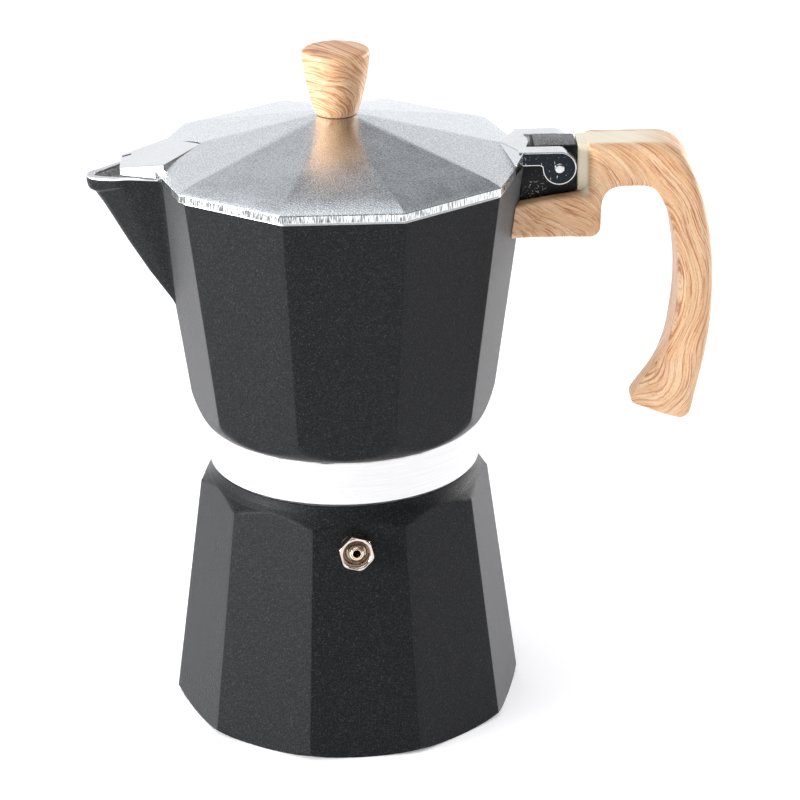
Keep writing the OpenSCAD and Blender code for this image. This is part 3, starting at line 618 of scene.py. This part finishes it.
def boiler_shell():
    limit = [(0, FOOT_R), (0.5, 50.6), (1.2, 51.6), (2.4, 52.6), (4, 60), (60, 60), (69.2, 43.2),
             (69.9, 42.25), (70.6, 41.6), (71.7, 40.6), (73.3, 39.65), (74.5, 39.15), (75.4, 38.95)]
    heights = ([0, 0.15, 0.3, 0.5, 0.7, 0.9, 1.1, 1.3, 1.5, 1.7, 1.9, 2.1, 2.3, 2.6, 3, 4]
               + spread(6, 66, 21) + spread(67, 68.8, 7) + spread(69, 72.4, 30) + spread(72.6, 75.2, 14))
    rings = [[(*to_radius(p, soft_min(hypot(*p), between(limit, z), 0.12)), z)
              for p in section(boiler_corner(z), BOILER_TURN, 0.7)] for z in heights]
    base = section(boiler_corner(75), BOILER_TURN, 0.7)

    def round_ring(r, z, thread=0.0):
        """A ring of the round parts. thread is the thread's height, which fades at both ends."""
        height = thread * smoothstep(LEDGE_Z, LEDGE_Z + 1.6, z) * smoothstep(MOUTH_Z, MOUTH_Z - 1.2, z)
        ring = []
        for p in base:
            phase = (z / THREAD_PITCH - atan2(p[1], p[0]) / (2 * pi)) % 1.0
            crest = smoothstep(0.15, 0.42, phase) * smoothstep(0.85, 0.58, phase)
            ring.append((*to_radius(p, r + height * crest), z))
        return ring

    rings.append(round_ring(LEDGE_R, LEDGE_Z - 0.15))
    first_bare = len(rings)
    rings += [round_ring(LEDGE_R - 0.25, LEDGE_Z), round_ring(NECK_R + 0.2, LEDGE_Z)]
    rings += [round_ring(NECK_R, z, THREAD_R - NECK_R) for z in spread(LEDGE_Z + 0.2, MOUTH_Z - 0.4, 44)]
    inner = [(NECK_R - 0.1, MOUTH_Z - 0.1), (NECK_R - 0.4, MOUTH_Z), (MOUTH_R + 0.4, MOUTH_Z),
             (MOUTH_R, MOUTH_Z - 0.4), (MOUTH_R, 78), (MOUTH_R + 0.1, 73), (34, 71), (37.2, 67.2), (38.4, 63)]
    inner += [(38.4 + 7 * (63 - z) / 56.5, z) for z in spread(58, 7, 12)]
    inner += [(45.1, 5.4), (44.2, 4.2), (42.4, FLOOR_T), (20, FLOOR_T)]
    rings += [round_ring(r, z) for r, z in inner]
    shell = mesh_object("boiler_shell", *skin(rings), [coat, bare], smooth=38)
    paint_rows(shell, len(rings[0]), len(rings), lambda row: 1 if row >= first_bare else 0)
    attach(shell, "boiler_body")
    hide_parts("boiler")


# -------- collector


def disc(x, y, z, r, count=40):
    return [(*p, z) for p in circle(x, y, r, count)]


def mirrored(points):
    return points + [(x, -y, z) for x, y, z in points]


def spout_trees():
    """The outside, the lip and the channel of the spout, as solids to be cast against."""
    top, tip = RIM_Z + 1, LIP_R - LIP_X

    def dots(*places):
        """Small discs on both sides of the middle plane."""
        return mirrored([p for place in places for p in disc(*place, 1, 20)])

    body = (disc(tip, 0, LIP_Z - 0.8, LIP_R) + disc(tip, 0, top, LIP_R) + disc(-47.4, 0, 124.5, 1.0)
            + disc(-59.3, 0, 144.2, 1.9) + disc(-54.2, 0, 135.0, 1.4)
            + dots((-62.4, 7.5, top), (-62.4, 7.2, RIM_Z - 1), (-56.7, 9.3, top), (-48.5, 10.4, top),
                   (-48.5, 10.1, RIM_Z - 2)))
    lip = (disc(tip, 0, 162.2, LIP_R) + disc(tip, 0, top, LIP_R) + disc(tip + 0.1, 0, 161.5, LIP_R - 0.3)
           + disc(tip + 0.6, 0, 160.9, LIP_R - 0.9) + disc(tip + 1.8, 0, 160.3, LIP_R - 1.8)
           + dots((-62.4, 7.1, 163.2), (-62.4, 7.5, top)))
    channel = (disc(tip, 0, LIP_Z - 2.2, LIP_R - SPOUT_WALL) + disc(tip, 0, top, LIP_R - SPOUT_WALL)
               + disc(-41, 0, 129, 1.0)
               + dots((-62.4, 5.4, RIM_Z - 3), (-62.4, 5.4, top), (-47, 8.6, RIM_Z - 3), (-47, 8.6, top)))
    return [BVHTree.FromBMesh(hull_mesh(points)) for points in (body, lip, channel)]


def cast(tree, direction, z):
    """The distance from the axis to the far side of a solid, or 0."""
    start = Vector((direction[0] * 100, direction[1] * 100, z))
    hit = tree.ray_cast(start, Vector((-direction[0], -direction[1], 0)), 99)
    return 0.0 if hit[0] is None else hypot(hit[0].x, hit[0].y)


def rim_height(x):
    """The rim's height, which falls towards the lip. The rings above LEAN_Z fall with it."""
    return RIM_Z - (RIM_Z - LIP_Z) * smoothstep(58, 71, -x)


def collector_shell():
    body, lip, channel = spout_trees()
    faces_near_spout = {SPOUT_CORNER - 1: TO_SPOUT, SPOUT_CORNER: FROM_SPOUT}
    spout_z, spout_back, channel_z, channel_back = 123, -40, 126, -36
    floor_edge = [(92.5, 34), (93.5, 37.6), (97, 40.4), (104, 43.6), (112, 48)]

    def outline(corner_r, rounding):
        return section(corner_r, 0.0, rounding, faces_near_spout)

    def placed(flat, r, z, drop):
        """A point at radius r. drop is a depth under the rim, which then sets the height."""
        height = z
        if drop is not None:
            height = rim_height(flat[0] * r) - drop
        elif z > LEAN_Z:
            height = LEAN_Z + (z - LEAN_Z) / (RIM_Z - LEAN_Z) * (rim_height(flat[0] * r) - LEAN_Z)
        return (flat[0] * r, flat[1] * r, height)

    def outer_ring(z, sink=0.0, drop=None):
        """One ring of the outside, round above the band and pushed out to the spout."""
        ring = []
        for p in outline(collector_corner(z), 1.1):
            r = hypot(*p)
            flat = (p[0] / r, p[1] / r)
            if z < BAND_TOP + ROUND_H:
                t = max(0.0, (z - BAND_TOP) / ROUND_H)
                full = collector_corner(z)
                limit = SKIRT_R + (full - SKIRT_R) * (1 - (1 - t) ** ROUND_POWER) ** (1 / ROUND_POWER)
                r = soft_min(r, limit, 0.25)
            if z > spout_z and p[0] < spout_back:
                look = min(z, RIM_Z - 0.01)
                far, far_lip = cast(body, flat, look), cast(lip, flat, look)
                far = soft_max(far, far_lip, 1.6) if far and far_lip else max(far, far_lip)
                if far > 0:
                    r = soft_max(r, far, 0.9)
            ring.append(placed(flat, r - sink, z, drop))
        return ring

    def inner_ring(z, sink=0.0, drop=None):
        """One ring of the inside, round near the floor and pushed out to the channel."""
        ring = []
        for p in outline(collector_corner(z) - WALL / cos(HALF), 1.5):
            r = hypot(*p)
            flat = (p[0] / r, p[1] / r)
            if z < floor_edge[-1][0]:
                r = soft_min(r, between(floor_edge, z), 0.8)
            if z > channel_z and p[0] < channel_back:
                far = cast(channel, flat, min(z, RIM_Z - 0.01))
                if far > 0:
                    r = soft_max(r, far, 0.8)
            ring.append(placed(flat, r + sink, z, drop))
        return ring

    def round_ring(r, z):
        return [(*to_radius(p, r), z) for p in outline(40, 1.0)]

    under = [(36.9, SKIRT_Z), (36.6, SKIRT_Z + 0.3), (36.6, 88.0), (28.0, 88.05), (8, 93.0), (5.06, 93.3),
             (5.06, 96.8), (9, 96.8), (20, 94.9), (30, 93.2)]
    heights = ([92.7, 93, 93.4, 94, 95, 97, 100, 104, 108, 112, 118, 124] + spread(127, 158, 32)
               + spread(159, 165.2, 20))
    rings = [inner_ring(z) for z in reversed(heights)]
    rings += [round_ring(r, z) for r, z in reversed(under)]
    skirt_row = len(rings)
    rings.append(round_ring(SKIRT_R - 0.3, SKIRT_Z))
    rings += [round_ring(SKIRT_R, z) for z in (SKIRT_Z + 0.3, 80, 84, 88, 89.2)]
    heights = (spread(89.6, 90.6, 11) + spread(90.8, 93, 9) + spread(93.4, 99, 12) + spread(102, 122, 8)
               + spread(123.5, 158, 52) + spread(158.5, 165.2, 34))
    rings += [outer_ring(z) for z in heights]
    rounding = [(0.0, 0.45), (0.08, 0.18), (0.3, 0.0)]
    rings += [outer_ring(RIM_Z, *step) for step in rounding]
    rings += [inner_ring(RIM_Z, *step) for step in reversed(rounding)]
    metals = [coat_and_band, bare, lit_spout_metal]
    shell = mesh_object("collector_shell", *skin(rings, closed=True), metals, smooth=38)
    rim_row = len(rings) - 2 * len(rounding)
    paint_rows(shell, len(rings[0]), len(rings) + 1, lambda row: 0 if skirt_row <= row < rim_row else 1)
    for face in shell.data.polygons:  # the spout's bare inside is rougher, and painted as a lighter, non-metal copy of the bare metal: painted light
        c = face.center / MM
        if face.material_index == 1 and c.x < -57 and 135 < c.z < rim_height(c.x) - 0.6:
            face.material_index = 2
    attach(shell, "collector_body")
    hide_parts("collector")


def hinge_lug():
    outline = [(51.5, 155.4), (67.6, 158.2), (67.6, 171.1)]
    outline += arc(66.9, 171.3, 0.7, 0, 90, 4)
    outline += [(55.4, 172.0), (55.4, 165.8), (51.5, 165.8)]
    lug = prism("hinge_lug", outline, "y", -LUG_W, LUG_W, [cast_coat])
    bore = prism("bore", arc(HINGE_X, HINGE_Z, 1.55, 0, 352, 40), "y", -20, 20)
    cut(lug, [bore])
    bevel(lug, 0.45, 40)
    shade(lug, 40)
    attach(lug, "collector_body")


# -------- lid


def cover_z(x):
    """The top of the spout cover."""
    return 168.2 + 0.203 * (x + 62.6)


def over_plan(name, plan, low, high):
    """A solid over a plan that is mirrored in the x axis. low and high give its heights at x."""
    corners = [(x, side * y) for x, y in plan for side in ((1, -1) if y else (1,))]
    return hull_object(name, [(x, y, z) for x, y in corners for z in (low(x), high(x))])


def hinge_parts():
    """The flap at the lid's back and the two ears that it carries."""
    top, root_x, side_x = LID_Z + 5.5, 45.4, 54.2
    root = [(root_x, 0, top), (root_x - 1.8, 0, LID_Z + 2), (side_x, 0, top), (side_x, 0, LID_Z + 2)]
    root += mirrored([(52.0, EAR_OUT, top), (49.4, 15.3, LID_Z + 2.75), (51.8, EAR_OUT, LID_Z + 0.8)])
    outline = [(50.6, top), (50.6, 167.7), (56.3, 167.7), (56.8, 167.62), (57.2, 167.4)]
    outline += arc(HINGE_X, HINGE_Z, EAR_R, 183, 450, 40)
    half_ear = (EAR_OUT - EAR_IN) / 2
    parts = [bevel(hull_object("root", root), 0.3, 20)]
    for side in (1, -1):
        ear = rounded_plate("ear", outline, half_ear, 0.38, 4, [], grid=4.0)
        ear.data.transform(Matrix.Translation((0, side * (EAR_IN + half_ear) * MM, 0)))
        parts.append(ear)
    return parts


def lid_shell():
    metals = [polished, lid_edge, ear_face, smooth_metal]
    few = {k: [0.02, 0.5, 0.98] for k in range(SIDES)}

    def ring(corner_r, z, rounding):
        return [(LID_X + x, y, z) for x, y in section(corner_r, 0.0, rounding, few)]

    knee_z = LID_Z + 4.78
    slope = (SEAT_Z - 0.1 - knee_z) / (LID_R - 7 - SEAT_R)
    rows = [(LID_R - inward, LID_Z + up, rounding) for inward, up, rounding in (
        (0.25, 0, 0.4), (0.08, 0.1, 0.5), (0, 0.3, 0.5), (0, 2.15, 0.5), (0.12, 2.4, 0.5), (0.45, 2.6, 0.5),
        (1.2, 2.93, 0.6), (2.3, 3.33, 0.7), (3.5, 3.74, 0.9), (5.2, 4.27, 1.1), (7, 4.78, 1.3))]
    rows += [(r, knee_z + slope * (LID_R - 7 - r), rounding)
             for r, rounding in ((44, 1.8), (38, 2.4), (28, 3.2), (18, 4), (10, 4), (SEAT_R, 4))]
    rows += [(SEAT_R - 0.6, SEAT_Z, 3.6), (0.5, SEAT_Z, 0.2), (0.5, SEAT_Z - 1.9, 0.2),
             (6.4, SEAT_Z - 1.9, 4), (38, LID_Z + 5.4, 2.4), (LID_R - 3.4, LID_Z + 1.35, 0.6),
             (LID_R - 3, LID_Z + 0.6, 0.6), (LID_R - 3, LID_Z, 0.6)]
    lid = mesh_object("lid_shell", *skin([ring(*row) for row in rows], closed=True), metals, smooth=20)

    plan = [(-62.6, 5.9), (-49.75, 12.3), (-39.5, 0)]
    wider = [(-62.9, 6.2), (-49.65, 12.95), (-38.95, 0)]
    narrower = [(-62.9, 4.8), (-49.7, 11.0), (-42.0, 0)]
    pocket = over_plan("pocket", wider, lambda x: cover_z(x) - 0.75, lambda x: 178)
    cover = bevel(over_plan("cover", plan, lambda x: rim_height(x) + 0.35, cover_z), 0.3, 20)
    cavity = over_plan("cavity", narrower, lambda x: LID_Z - 2, lambda x: cover_z(x) - 1.25)
    parts = [cover] + hinge_parts()
    for part in parts:
        for material in metals:
            part.data.materials.append(material)
        part.data.polygons.foreach_set("material_index", [3] * len(part.data.polygons))
    cut(lid, [pocket])
    cut(lid, parts, "UNION")
    notch = prism("notch", [(-62.2, 3.3), (-59.6, 3.9), (-59.6, 5.0), (-62.2, 4.5)], "z", 166.5, 172)
    swing = prism("swing", arc(HINGE_X, HINGE_Z, 9.6, 0, 355, 72), "y", -EAR_IN, EAR_IN)
    hole = prism("hole", arc(LID_X, 0, 2.2, 0, 345, 24), "z", 150, 200)
    pin_hole = prism("pin_hole", arc(HINGE_X, HINGE_Z, 1.52, 0, 352, 40), "y", -20, 20)
    low, high = EAR_OUT - 0.12, EAR_OUT + 1
    crease = [(57.55, low), (57.75, low), (57.75, high), (57.55, high)]
    creases = [prism("crease", [(x, side * y) for x, y in crease], "z", 168.0, 170.6) for side in (1, -1)]
    cut(lid, [cavity, notch, swing, hole, pin_hole] + creases)
    for face in lid.data.polygons:
        c = face.center / MM
        upright = abs(face.normal.z) < 0.3 and hypot(c.x - LID_X, c.y) > LID_R * cos(HALF) - 0.2
        on_edge = upright and LID_Z + 0.2 < c.z < LID_Z + 2.3
        on_ear = c.x > 50.8 and abs(face.normal.y) > 0.99 and EAR_OUT - 0.2 < abs(c.y) < EAR_OUT + 0.1
        if on_ear or on_edge and abs(c.y) > 12.6:
            face.material_index = 2 if on_ear else 1
    shade(lid, 20)
    modify(lid, "WEIGHTED_NORMAL", keep_sharp=True)
    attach(lid, "lid_body")
    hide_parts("lid")


def hinge_pin():
    half = EAR_OUT + 0.1
    profile = [(0.7, -half), (1.15, -half + 0.02), (1.42, -half + 0.22), (1.49, -half + 0.45)]
    profile += [(r, -z) for r, z in reversed(profile)]
    pin = turned("hinge_rivet", profile, steel, 48)
    place = Matrix.Translation((HINGE_X * MM, 0, HINGE_Z * MM))
    pin.data.transform(place @ Matrix.Rotation(pi / 2, 4, "X"))
    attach(pin, "lid_body")
    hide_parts("hinge_pin")


# -------- knob


def knob():
    wall = [(5.2, 0.0), (5.75, 0.12), (5.95, 0.45), (6.3, 1.1), (7.1, 3.4), (7.7, 5.8), (8.3, 8.2),
            (8.8, 10.4), (9.2, 12.8), (9.5, 15.1), (9.72, 17.1), (9.7, 17.9), (9.35, 18.55), (8.6, 18.9),
            (7.2, 19.05), (4, 19.15), (0.6, 19.18)]
    profile = [(r, KNOB_Z + z) for r, z in [(0.5, 0.0)] + smooth_curve(wall)]

    def grain(p):
        x, y, z = p.x - LID_X + 9.5, p.y, p.z - KNOB_Z - 0.5
        return (-18 * atan2(z, x) + 0.3 * y, hypot(x + 0.2 * y, z) + 0.3 * y)

    piece = turned("knob_turned", profile, wood_knob, 96, LID_X, grain, 50)
    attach(piece, "lid_body")
    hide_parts("knob")


# -------- handle


def handle_outline():
    """The side view, round the outside, clear of the lug on its left."""
    top = [(70.9, HANDLE_TOP), (80, HANDLE_TOP), (88, HANDLE_TOP)]
    back = smooth_curve([
        (88, HANDLE_TOP), (93.0, 172.05), (96.6, 170.5), (98.6, 168.6), (100.6, 165.3), (102.5, 160.8),
        (104.0, 155.9), (105.15, 151.1), (106.2, 145.7), (106.87, 140.2), (107.25, 135.5), (107.45, 128.9),
        (107.32, 121.4), (106.68, 113.9), (105.55, 106.4), (104.4, 100.8), (103.1, 95.1), (102.2, 91.4)])
    end = smooth_curve([(102.2, 91.4), (101.4, 89.3), (99.9, 88.1), (98.2, 88.0), (93.6, 89.3), (89.3, 90.3),
                        (86.2, 90.6), (84.9, 91.7), (84.9, 93.4)])
    grip = smooth_curve([
        (84.9, 93.4), (86.4, 95.9), (88.4, 98.7), (90.9, 102.2), (92.9, 105.8), (94.6, 109.9), (95.7, 114.1),
        (96.5, 118.8), (97.05, 123.5), (97.3, 129.1), (97.1, 134.8), (96.5, 140.4), (95.6, 146.0),
        (94.6, 149.8), (93.4, 152.9), (91.9, 155.9), (90.4, 158.0), (88.9, 159.1), (87.0, 159.6)])
    bar = smooth_curve([(87.0, 159.6), (83.5, 159.65), (80.4, 159.55), (78.0, 159.0), (76.2, 157.6),
                        (75.2, 155.6), (74.8, 153.0), (74.65, 148.6)])
    block = arc(*BLOCK_END, 3.1, 2, -92, 9) + [(66, 144.75), (58, 144.7), (46, 144.6)]
    left = [(46, 154.3), (52, 155.6), (62, 157.3)]
    relief = arc(67.6, 161.0, 3.3, -88, 0, 7)
    return top + back[1:] + end[1:] + grip[1:] + bar[1:] + block + left + relief


def resample(points):
    """Points about a millimetre apart along a closed outline."""
    made = []
    for a, b in sides_of(points):
        pieces = max(1, round(dist(a, b)))
        made += [tuple(p + (q - p) * t / pieces for p, q in zip(a, b)) for t in range(pieces)]
    return made


def inside(point, outline):
    x, z = point
    found = False
    for (x0, z0), (x1, z1) in sides_of(outline):
        if (z0 > z) != (z1 > z) and x < x0 + (z - z0) * (x1 - x0) / (z1 - z0):
            found = not found
    return found


def rounded_plate(name, outline, half_width, rounding, steps, materials, uv=None, grid=1.6, keep=None,
                  narrow=None):
    """A plate with rounded long edges: rings round the outline, and a fine net on both flat sides.
    keep(x, z) from 0 to 1 says how much of the rounding a place gets, narrow(x, z) how much of the width."""
    outline = resample(outline)
    count = len(outline)
    if sum(a[0] * b[1] - b[0] * a[1] for a, b in sides_of(outline)) < 0:
        outline.reverse()
    normals = []
    for i in range(count):
        a, b = outline[i - 2], outline[(i + 2) % count]
        length = dist(a, b)
        normals.append(((b[1] - a[1]) / length, -(b[0] - a[0]) / length))
    radii = [rounding * (keep(*p) if keep else 1.0) for p in outline]
    for _ in range(3):
        radii = [(radii[i - 1] + radii[i] + radii[(i + 1) % count]) / 3 for i in range(count)]

    def ring(angle, side):
        s, c = sin(angle), cos(angle)
        return [(p[0] - n[0] * r * (1 - s), side * (half_width - r + r * c), p[1] - n[1] * r * (1 - s))
                for p, n, r in zip(outline, normals, radii)]

    angles = spread(0, pi / 2, steps)
    rings = [ring(a, 1) for a in angles] + [ring(a, -1) for a in reversed(angles)]
    verts, faces = skin(rings, capped=False)
    flat = [(p[0], p[2]) for p in rings[0]]
    xs, zs = zip(*flat)
    extra = []
    x = min(xs) + grid / 2
    while x < max(xs):
        z = min(zs) + grid / 2
        while z < max(zs):
            if inside((x, z), flat) and min(dist((x, z), p) for p in flat) > 0.6 * grid:
                extra.append((x, z))
            z += grid
        x += grid
    points = [Vector(p) for p in flat + extra]
    edges = [(i, (i + 1) % count) for i in range(count)]
    places, _, triangles, origins = delaunay_2d_cdt(points, edges, [], 1, 1e-6)[:4]
    for side, row in ((1, 0), (-1, len(rings) - 1)):
        index = []
        for p, origin in zip(places, origins):
            known = [o for o in origin if o < count]
            if known:
                index.append(row * count + known[0])
            else:
                index.append(len(verts))
                verts.append((p[0], side * half_width, p[1]))
        for triangle in triangles:
            ids = [index[v] for v in triangle]
            faces.append(tuple(ids if side < 0 else reversed(ids)))
    if narrow:
        verts = [(x, y * narrow(x, z), z) for x, y, z in verts]
    obj = mesh_object(name, verts, faces, materials, uv, 50)
    turn_outwards(obj.data)
    return obj


def handle():
    def grain(p):
        """The print's streaks run round a point left of the grip, and slant across the thickness."""
        x, z = p.x - 44, p.z - 127
        return (-56 * atan2(z, x) + 0.25 * p.y, hypot(x, z) + 0.55 * p.y)

    def full(x, z):
        near_wall = smoothstep(46, 49, x)
        relief = 1 - 0.85 * smoothstep(72.6, 70.4, x) * smoothstep(157, 160, z)
        toe = 1 - 0.5 * smoothstep(8, 3, dist((x, z), (86, 92)))
        end = toe * (1 - 0.45 * smoothstep(97, 89, z))
        block_end = 1 - 0.2 * smoothstep(8, 4, dist((x, z), BLOCK_END))
        lug = 1 - 0.7 * smoothstep(72, 66, x) * smoothstep(152, 154, z)
        return max(0.12, min(near_wall, relief, end, block_end, lug))

    inner_edge = [(91, 84.9), (93.4, 84.9), (98.7, 88.4), (105.8, 92.9), (114.1, 95.7), (123.5, 97.05),
                  (131, 97.3)]

    def slim(x, z):
        """Less width at the inner edge of the grip's lower end, and a rounded start beside the tongue."""
        if x < 74.8 and z > 157:
            corner = min(1.0, (74.8 - x) / 3.9)
            return 1 - 0.4 * (1 - sqrt(1 - corner * corner)) * smoothstep(157, 160.5, z)
        if x < 80 or z > 130:
            return 1.0
        gap = x - between(inner_edge, z)
        return 1 - 0.62 * smoothstep(9.5, -0.5, gap) * smoothstep(124, 95, z)

    grip = rounded_plate("handle_grip", handle_outline(), HANDLE_W / 2, 3.2, 8, [wood_handle], grain,
                         keep=full, narrow=slim)
    wall = [(*p, z) for z in (130.0, 175.0)
            for p in circle(0, 0, collector_corner(z) + 0.3 / cos(HALF), SIDES)]
    lug_room = prism("lug_room", [(40, 153.0), (51.3, 155.1), (67.9, 157.95), (67.9, 180), (40, 180)],
                     "y", -LUG_W - 0.2, LUG_W + 0.2)
    head = prism("head", arc(59.2, 0, 3.4, 0, 345, 24), "z", 140, 147.1)
    cut(grip, [hull_object("wall", wall), lug_room, head])
    tongue_side = [(67.9, 172.2), (67.9, 158.0), (73, 158.0), (73, 172.2)]
    tongue = rounded_plate("handle_tongue", tongue_side, 5.3, 0.5, 4, [wood_handle], grain, 2.0)
    cut(grip, [tongue], "UNION")
    shade(grip, 35)
    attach(grip, "collector_body")
    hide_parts("handle")


# -------- safety valve


def at_valve():
    """Turns a piece drawn along z into the valve's place on the boiler's side."""
    slope = atan(BOILER_TAPER * cos(HALF))
    out = boiler_corner(VALVE_Z) * cos(HALF)
    return (Matrix.Rotation(BOILER_TURN - pi / 2, 4, "Z")
            @ Matrix.Translation((out * MM, VALVE_SHIFT * MM, VALVE_Z * MM))
            @ Matrix.Rotation(pi / 2 - slope, 4, "Y"))


def valve_nut():
    half_flat, top, base = 4.6, 4.85, 0.86
    shares = [i / 9 for i in range(1, 9)]

    def hexagon(limit):
        """The hexagon's points, with its corners cut off at a radius."""
        points = rounded_polygon(6, half_flat, radians(14), 0.25, 5, lambda k: shares)
        return [to_radius(p, soft_min(hypot(*p), limit, 0.08)) for p in points]

    outside = [(4.85, base), (5.4, base + 0.25), (5.4, 4.1), (5.28, 4.35), (5.12, 4.6), (4.98, 4.78),
               (4.85, top)]
    bore = [(4.2, top), (4.1, top - 0.05), (3.96, top - 0.22), (3.5, 3.9), (3.1, 3.1), (2.8, 2.6),
            (2.55, 2.5), (2.3, 2.45), (2.25, 1.0), (2.9, 0.9), (2.9, -6.8), (3.68, -6.8), (3.68, 0.7),
            (3.8, base)]
    shape = hexagon(5.4)
    rings = [[(*p, z) for p in hexagon(limit)] for limit, z in outside]
    rings += [[(*to_radius(p, r), z) for p in shape] for r, z in bore]
    nut = mesh_object("valve_nut", *skin(rings, closed=True), [nickel, nickel_shaded_dish], smooth=32)
    # painted reflection: the dished face gets the darker nickel copy
    dish_rows = range(9, 17)
    paint_rows(nut, len(shape), len(rings) + 1, lambda row: 1 if row in dish_rows else 0)
    nut.data.transform(at_valve())
    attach(nut, "boiler_body")
    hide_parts("valve_body")


def valve_piston():
    profile = [(0.2, -5.25), (1.5, -5.25), (2.0, -5.0), (2.0, -4.7), (2.8, -4.65), (2.8, -3.9), (1.5, -3.85),
               (1.5, 1.6), (2.1, 1.65), (2.17, 1.75), (2.17, 3.55), (2.05, 3.8), (1.62, 3.92), (1.55, 4.0),
               (1.52, 4.5), (1.4, 4.62), (1.2, 4.64), (1.08, 4.5), (1.05, 4.3), (1.05, -2.2), (0.3, -2.6)]
    pin = turned("valve_piston", profile, brass, 48)
    pin.data.transform(at_valve())
    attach(pin, "valve_pin_body")
    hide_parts("valve_pin")


def spring_coil():
    """The valve's spring, close-wound at both ends."""
    coil_r, wire_r, steps, around, turns = 2.24, 0.25, 28, 10, 5
    low, high = -3.6, 0.6
    rise = [(0, low), (0.9, low + 0.48), (4.1, high - 0.48), (turns, high)]
    wire = [(r, -z) for r, z in circle(coil_r, 0, wire_r, around)]
    rings = []
    for i in range(turns * steps + 1):
        a, middle = 2 * pi * i / steps, between(rise, i / steps)
        rings.append([(r * cos(a), r * sin(a), middle + z) for r, z in wire])
    coil = mesh_object("spring_coil", *skin(rings), [steel], smooth=60)
    coil.data.transform(at_valve())
    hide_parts("valve_spring")
    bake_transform(coil)


# -------- carried-over pieces


def dress_cad():
    finish = {
        "valve_washer": fibre_and_shade, "valve_seat": brass, "funnel": bare, "funnel_sieve": bare, "gasket": rubber,
        "filter_plate": bare, "riser_column": bare, "knob_insert": brass, "knob_screw": steel,
        "knob_washer": steel, "handle_screw": steel,
    }
    for node, material in finish.items():
        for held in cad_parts[node].material_slots:
            held.material = material


# -------- floor, light and camera


def stage():
    n = new_material("floor_paper")
    n.put(Roughness=0.9, Emission_Color=(1, 1, 1, 1), Emission_Strength=0.28)
    paper = n.finish(n.mix(n.vary(n.noise(3.0)), (0.93, 0.93, 0.93), (0.95, 0.95, 0.95)))
    reach = 6000
    corners = [(-reach, -reach, 0), (reach, -reach, 0), (reach, reach, 0), (-reach, reach, 0)]
    floor = add_object("floor", new_mesh("floor", corners, [(0, 1, 2, 3)], [paper]))


def world_light():
    """A pale studio: white backdrop and ceiling, a grey belt above the backdrop, and a room in front that
    is dim low down. High up, the left is brighter than the right."""
    world = bpy.data.worlds.new("studio")
    n = Nodes(world, "Background", "Generated")
    x, y, z = n.split(n.place)

    def greys(value, stops):
        return n.ramp(value, [(at, (grey, grey, grey * 1.02)) for at, grey in stops])

    by_height = greys(z, [(0.342, 1.1), (0.454, 0.74), (0.5, 0.68), (0.6, 0.5), (0.7, 0.36),
                          (0.79, 0.36), (0.85, 1.1), (1.0, 1.3)])
    by_depth = greys(n.remap(y, -1.0, 1.0), [(0.0, 0.10), (0.38, 0.16), (0.56, 0.8), (0.7, 1.0)])
    front_sky = greys(z, [(0.0, 0.0), (0.56, 0.0), (0.72, 0.58), (0.88, 0.62)])
    in_front = greys(n.remap(y, -1.0, 1.0), [(0.40, 1.0), (0.52, 0.0)])
    by_side = greys(n.remap(x, -1.0, 1.0), [(0.28, 2.2), (0.37, 1.5), (0.44, 1.34), (0.517, 0.78),
                                            (0.59, 0.65), (0.72, 0.7), (0.85, 1.2), (1.0, 1.3)])
    sided = n.mix(n.remap(z, 0.45, 0.56), (1, 1, 1), by_side)
    room = n.mix(1.0, n.mix(1.0, by_height, by_depth, "MULTIPLY"),
                 n.mix(1.0, front_sky, in_front, "MULTIPLY"), "LIGHTEN")
    n.feed(n.shader.inputs["Color"], n.mix(1.0, room, sided, "MULTIPLY"))
    n.put(Strength=1.03)
    bpy.context.scene.world = world


def area_light(name, place, size, power):
    """A rectangle of light that faces the middle of the pot."""
    data = bpy.data.lights.new(name, "AREA")
    data.shape = "RECTANGLE"
    data.size, data.size_y = size
    data.energy = power
    obj = add_object(name, data)
    obj.location = place
    obj.rotation_mode = "QUATERNION"
    obj.rotation_quaternion = (Vector((0, 0, 0.1)) - Vector(place)).to_track_quat("-Z", "Y")


def camera():
    """The fitted view: the pot from slightly left of the front and 22.5 degrees above."""
    data = bpy.data.cameras.new("camera")
    data.lens, data.sensor_width = 142.77, 36.0
    data.clip_start, data.clip_end = 0.01, 20
    right = Vector((0.9991167, -0.04100857, -0.00917197))
    up = Vector((0.02418702, 0.38272287, 0.92354653))
    away = Vector((0.034363, 0.9229526, -0.38337669))
    turn = Matrix((right, up, -away)).transposed()
    obj = add_object("camera", data)
    obj.matrix_world = Matrix.Translation(Vector((-15.584, -865.744, 451.838)) * MM) @ turn.to_4x4()
    bpy.context.scene.camera = obj


boiler_shell()
collector_shell()
hinge_lug()
lid_shell()
hinge_pin()
knob()
handle()
valve_nut()
valve_piston()
spring_coil()
dress_cad()
stage()
world_light()
area_light("left_box", (-1.9, -0.75, 0.42), (1.2, 0.75), 66)
area_light("right_box", (1.7, 1.0, 0.42), (1.0, 0.75), 31)
area_light("top_box", (-0.1, -1.0, 1.5), (1.6, 0.9), 5.5)
camera()
bpy.context.scene.view_settings.view_transform = "Standard"
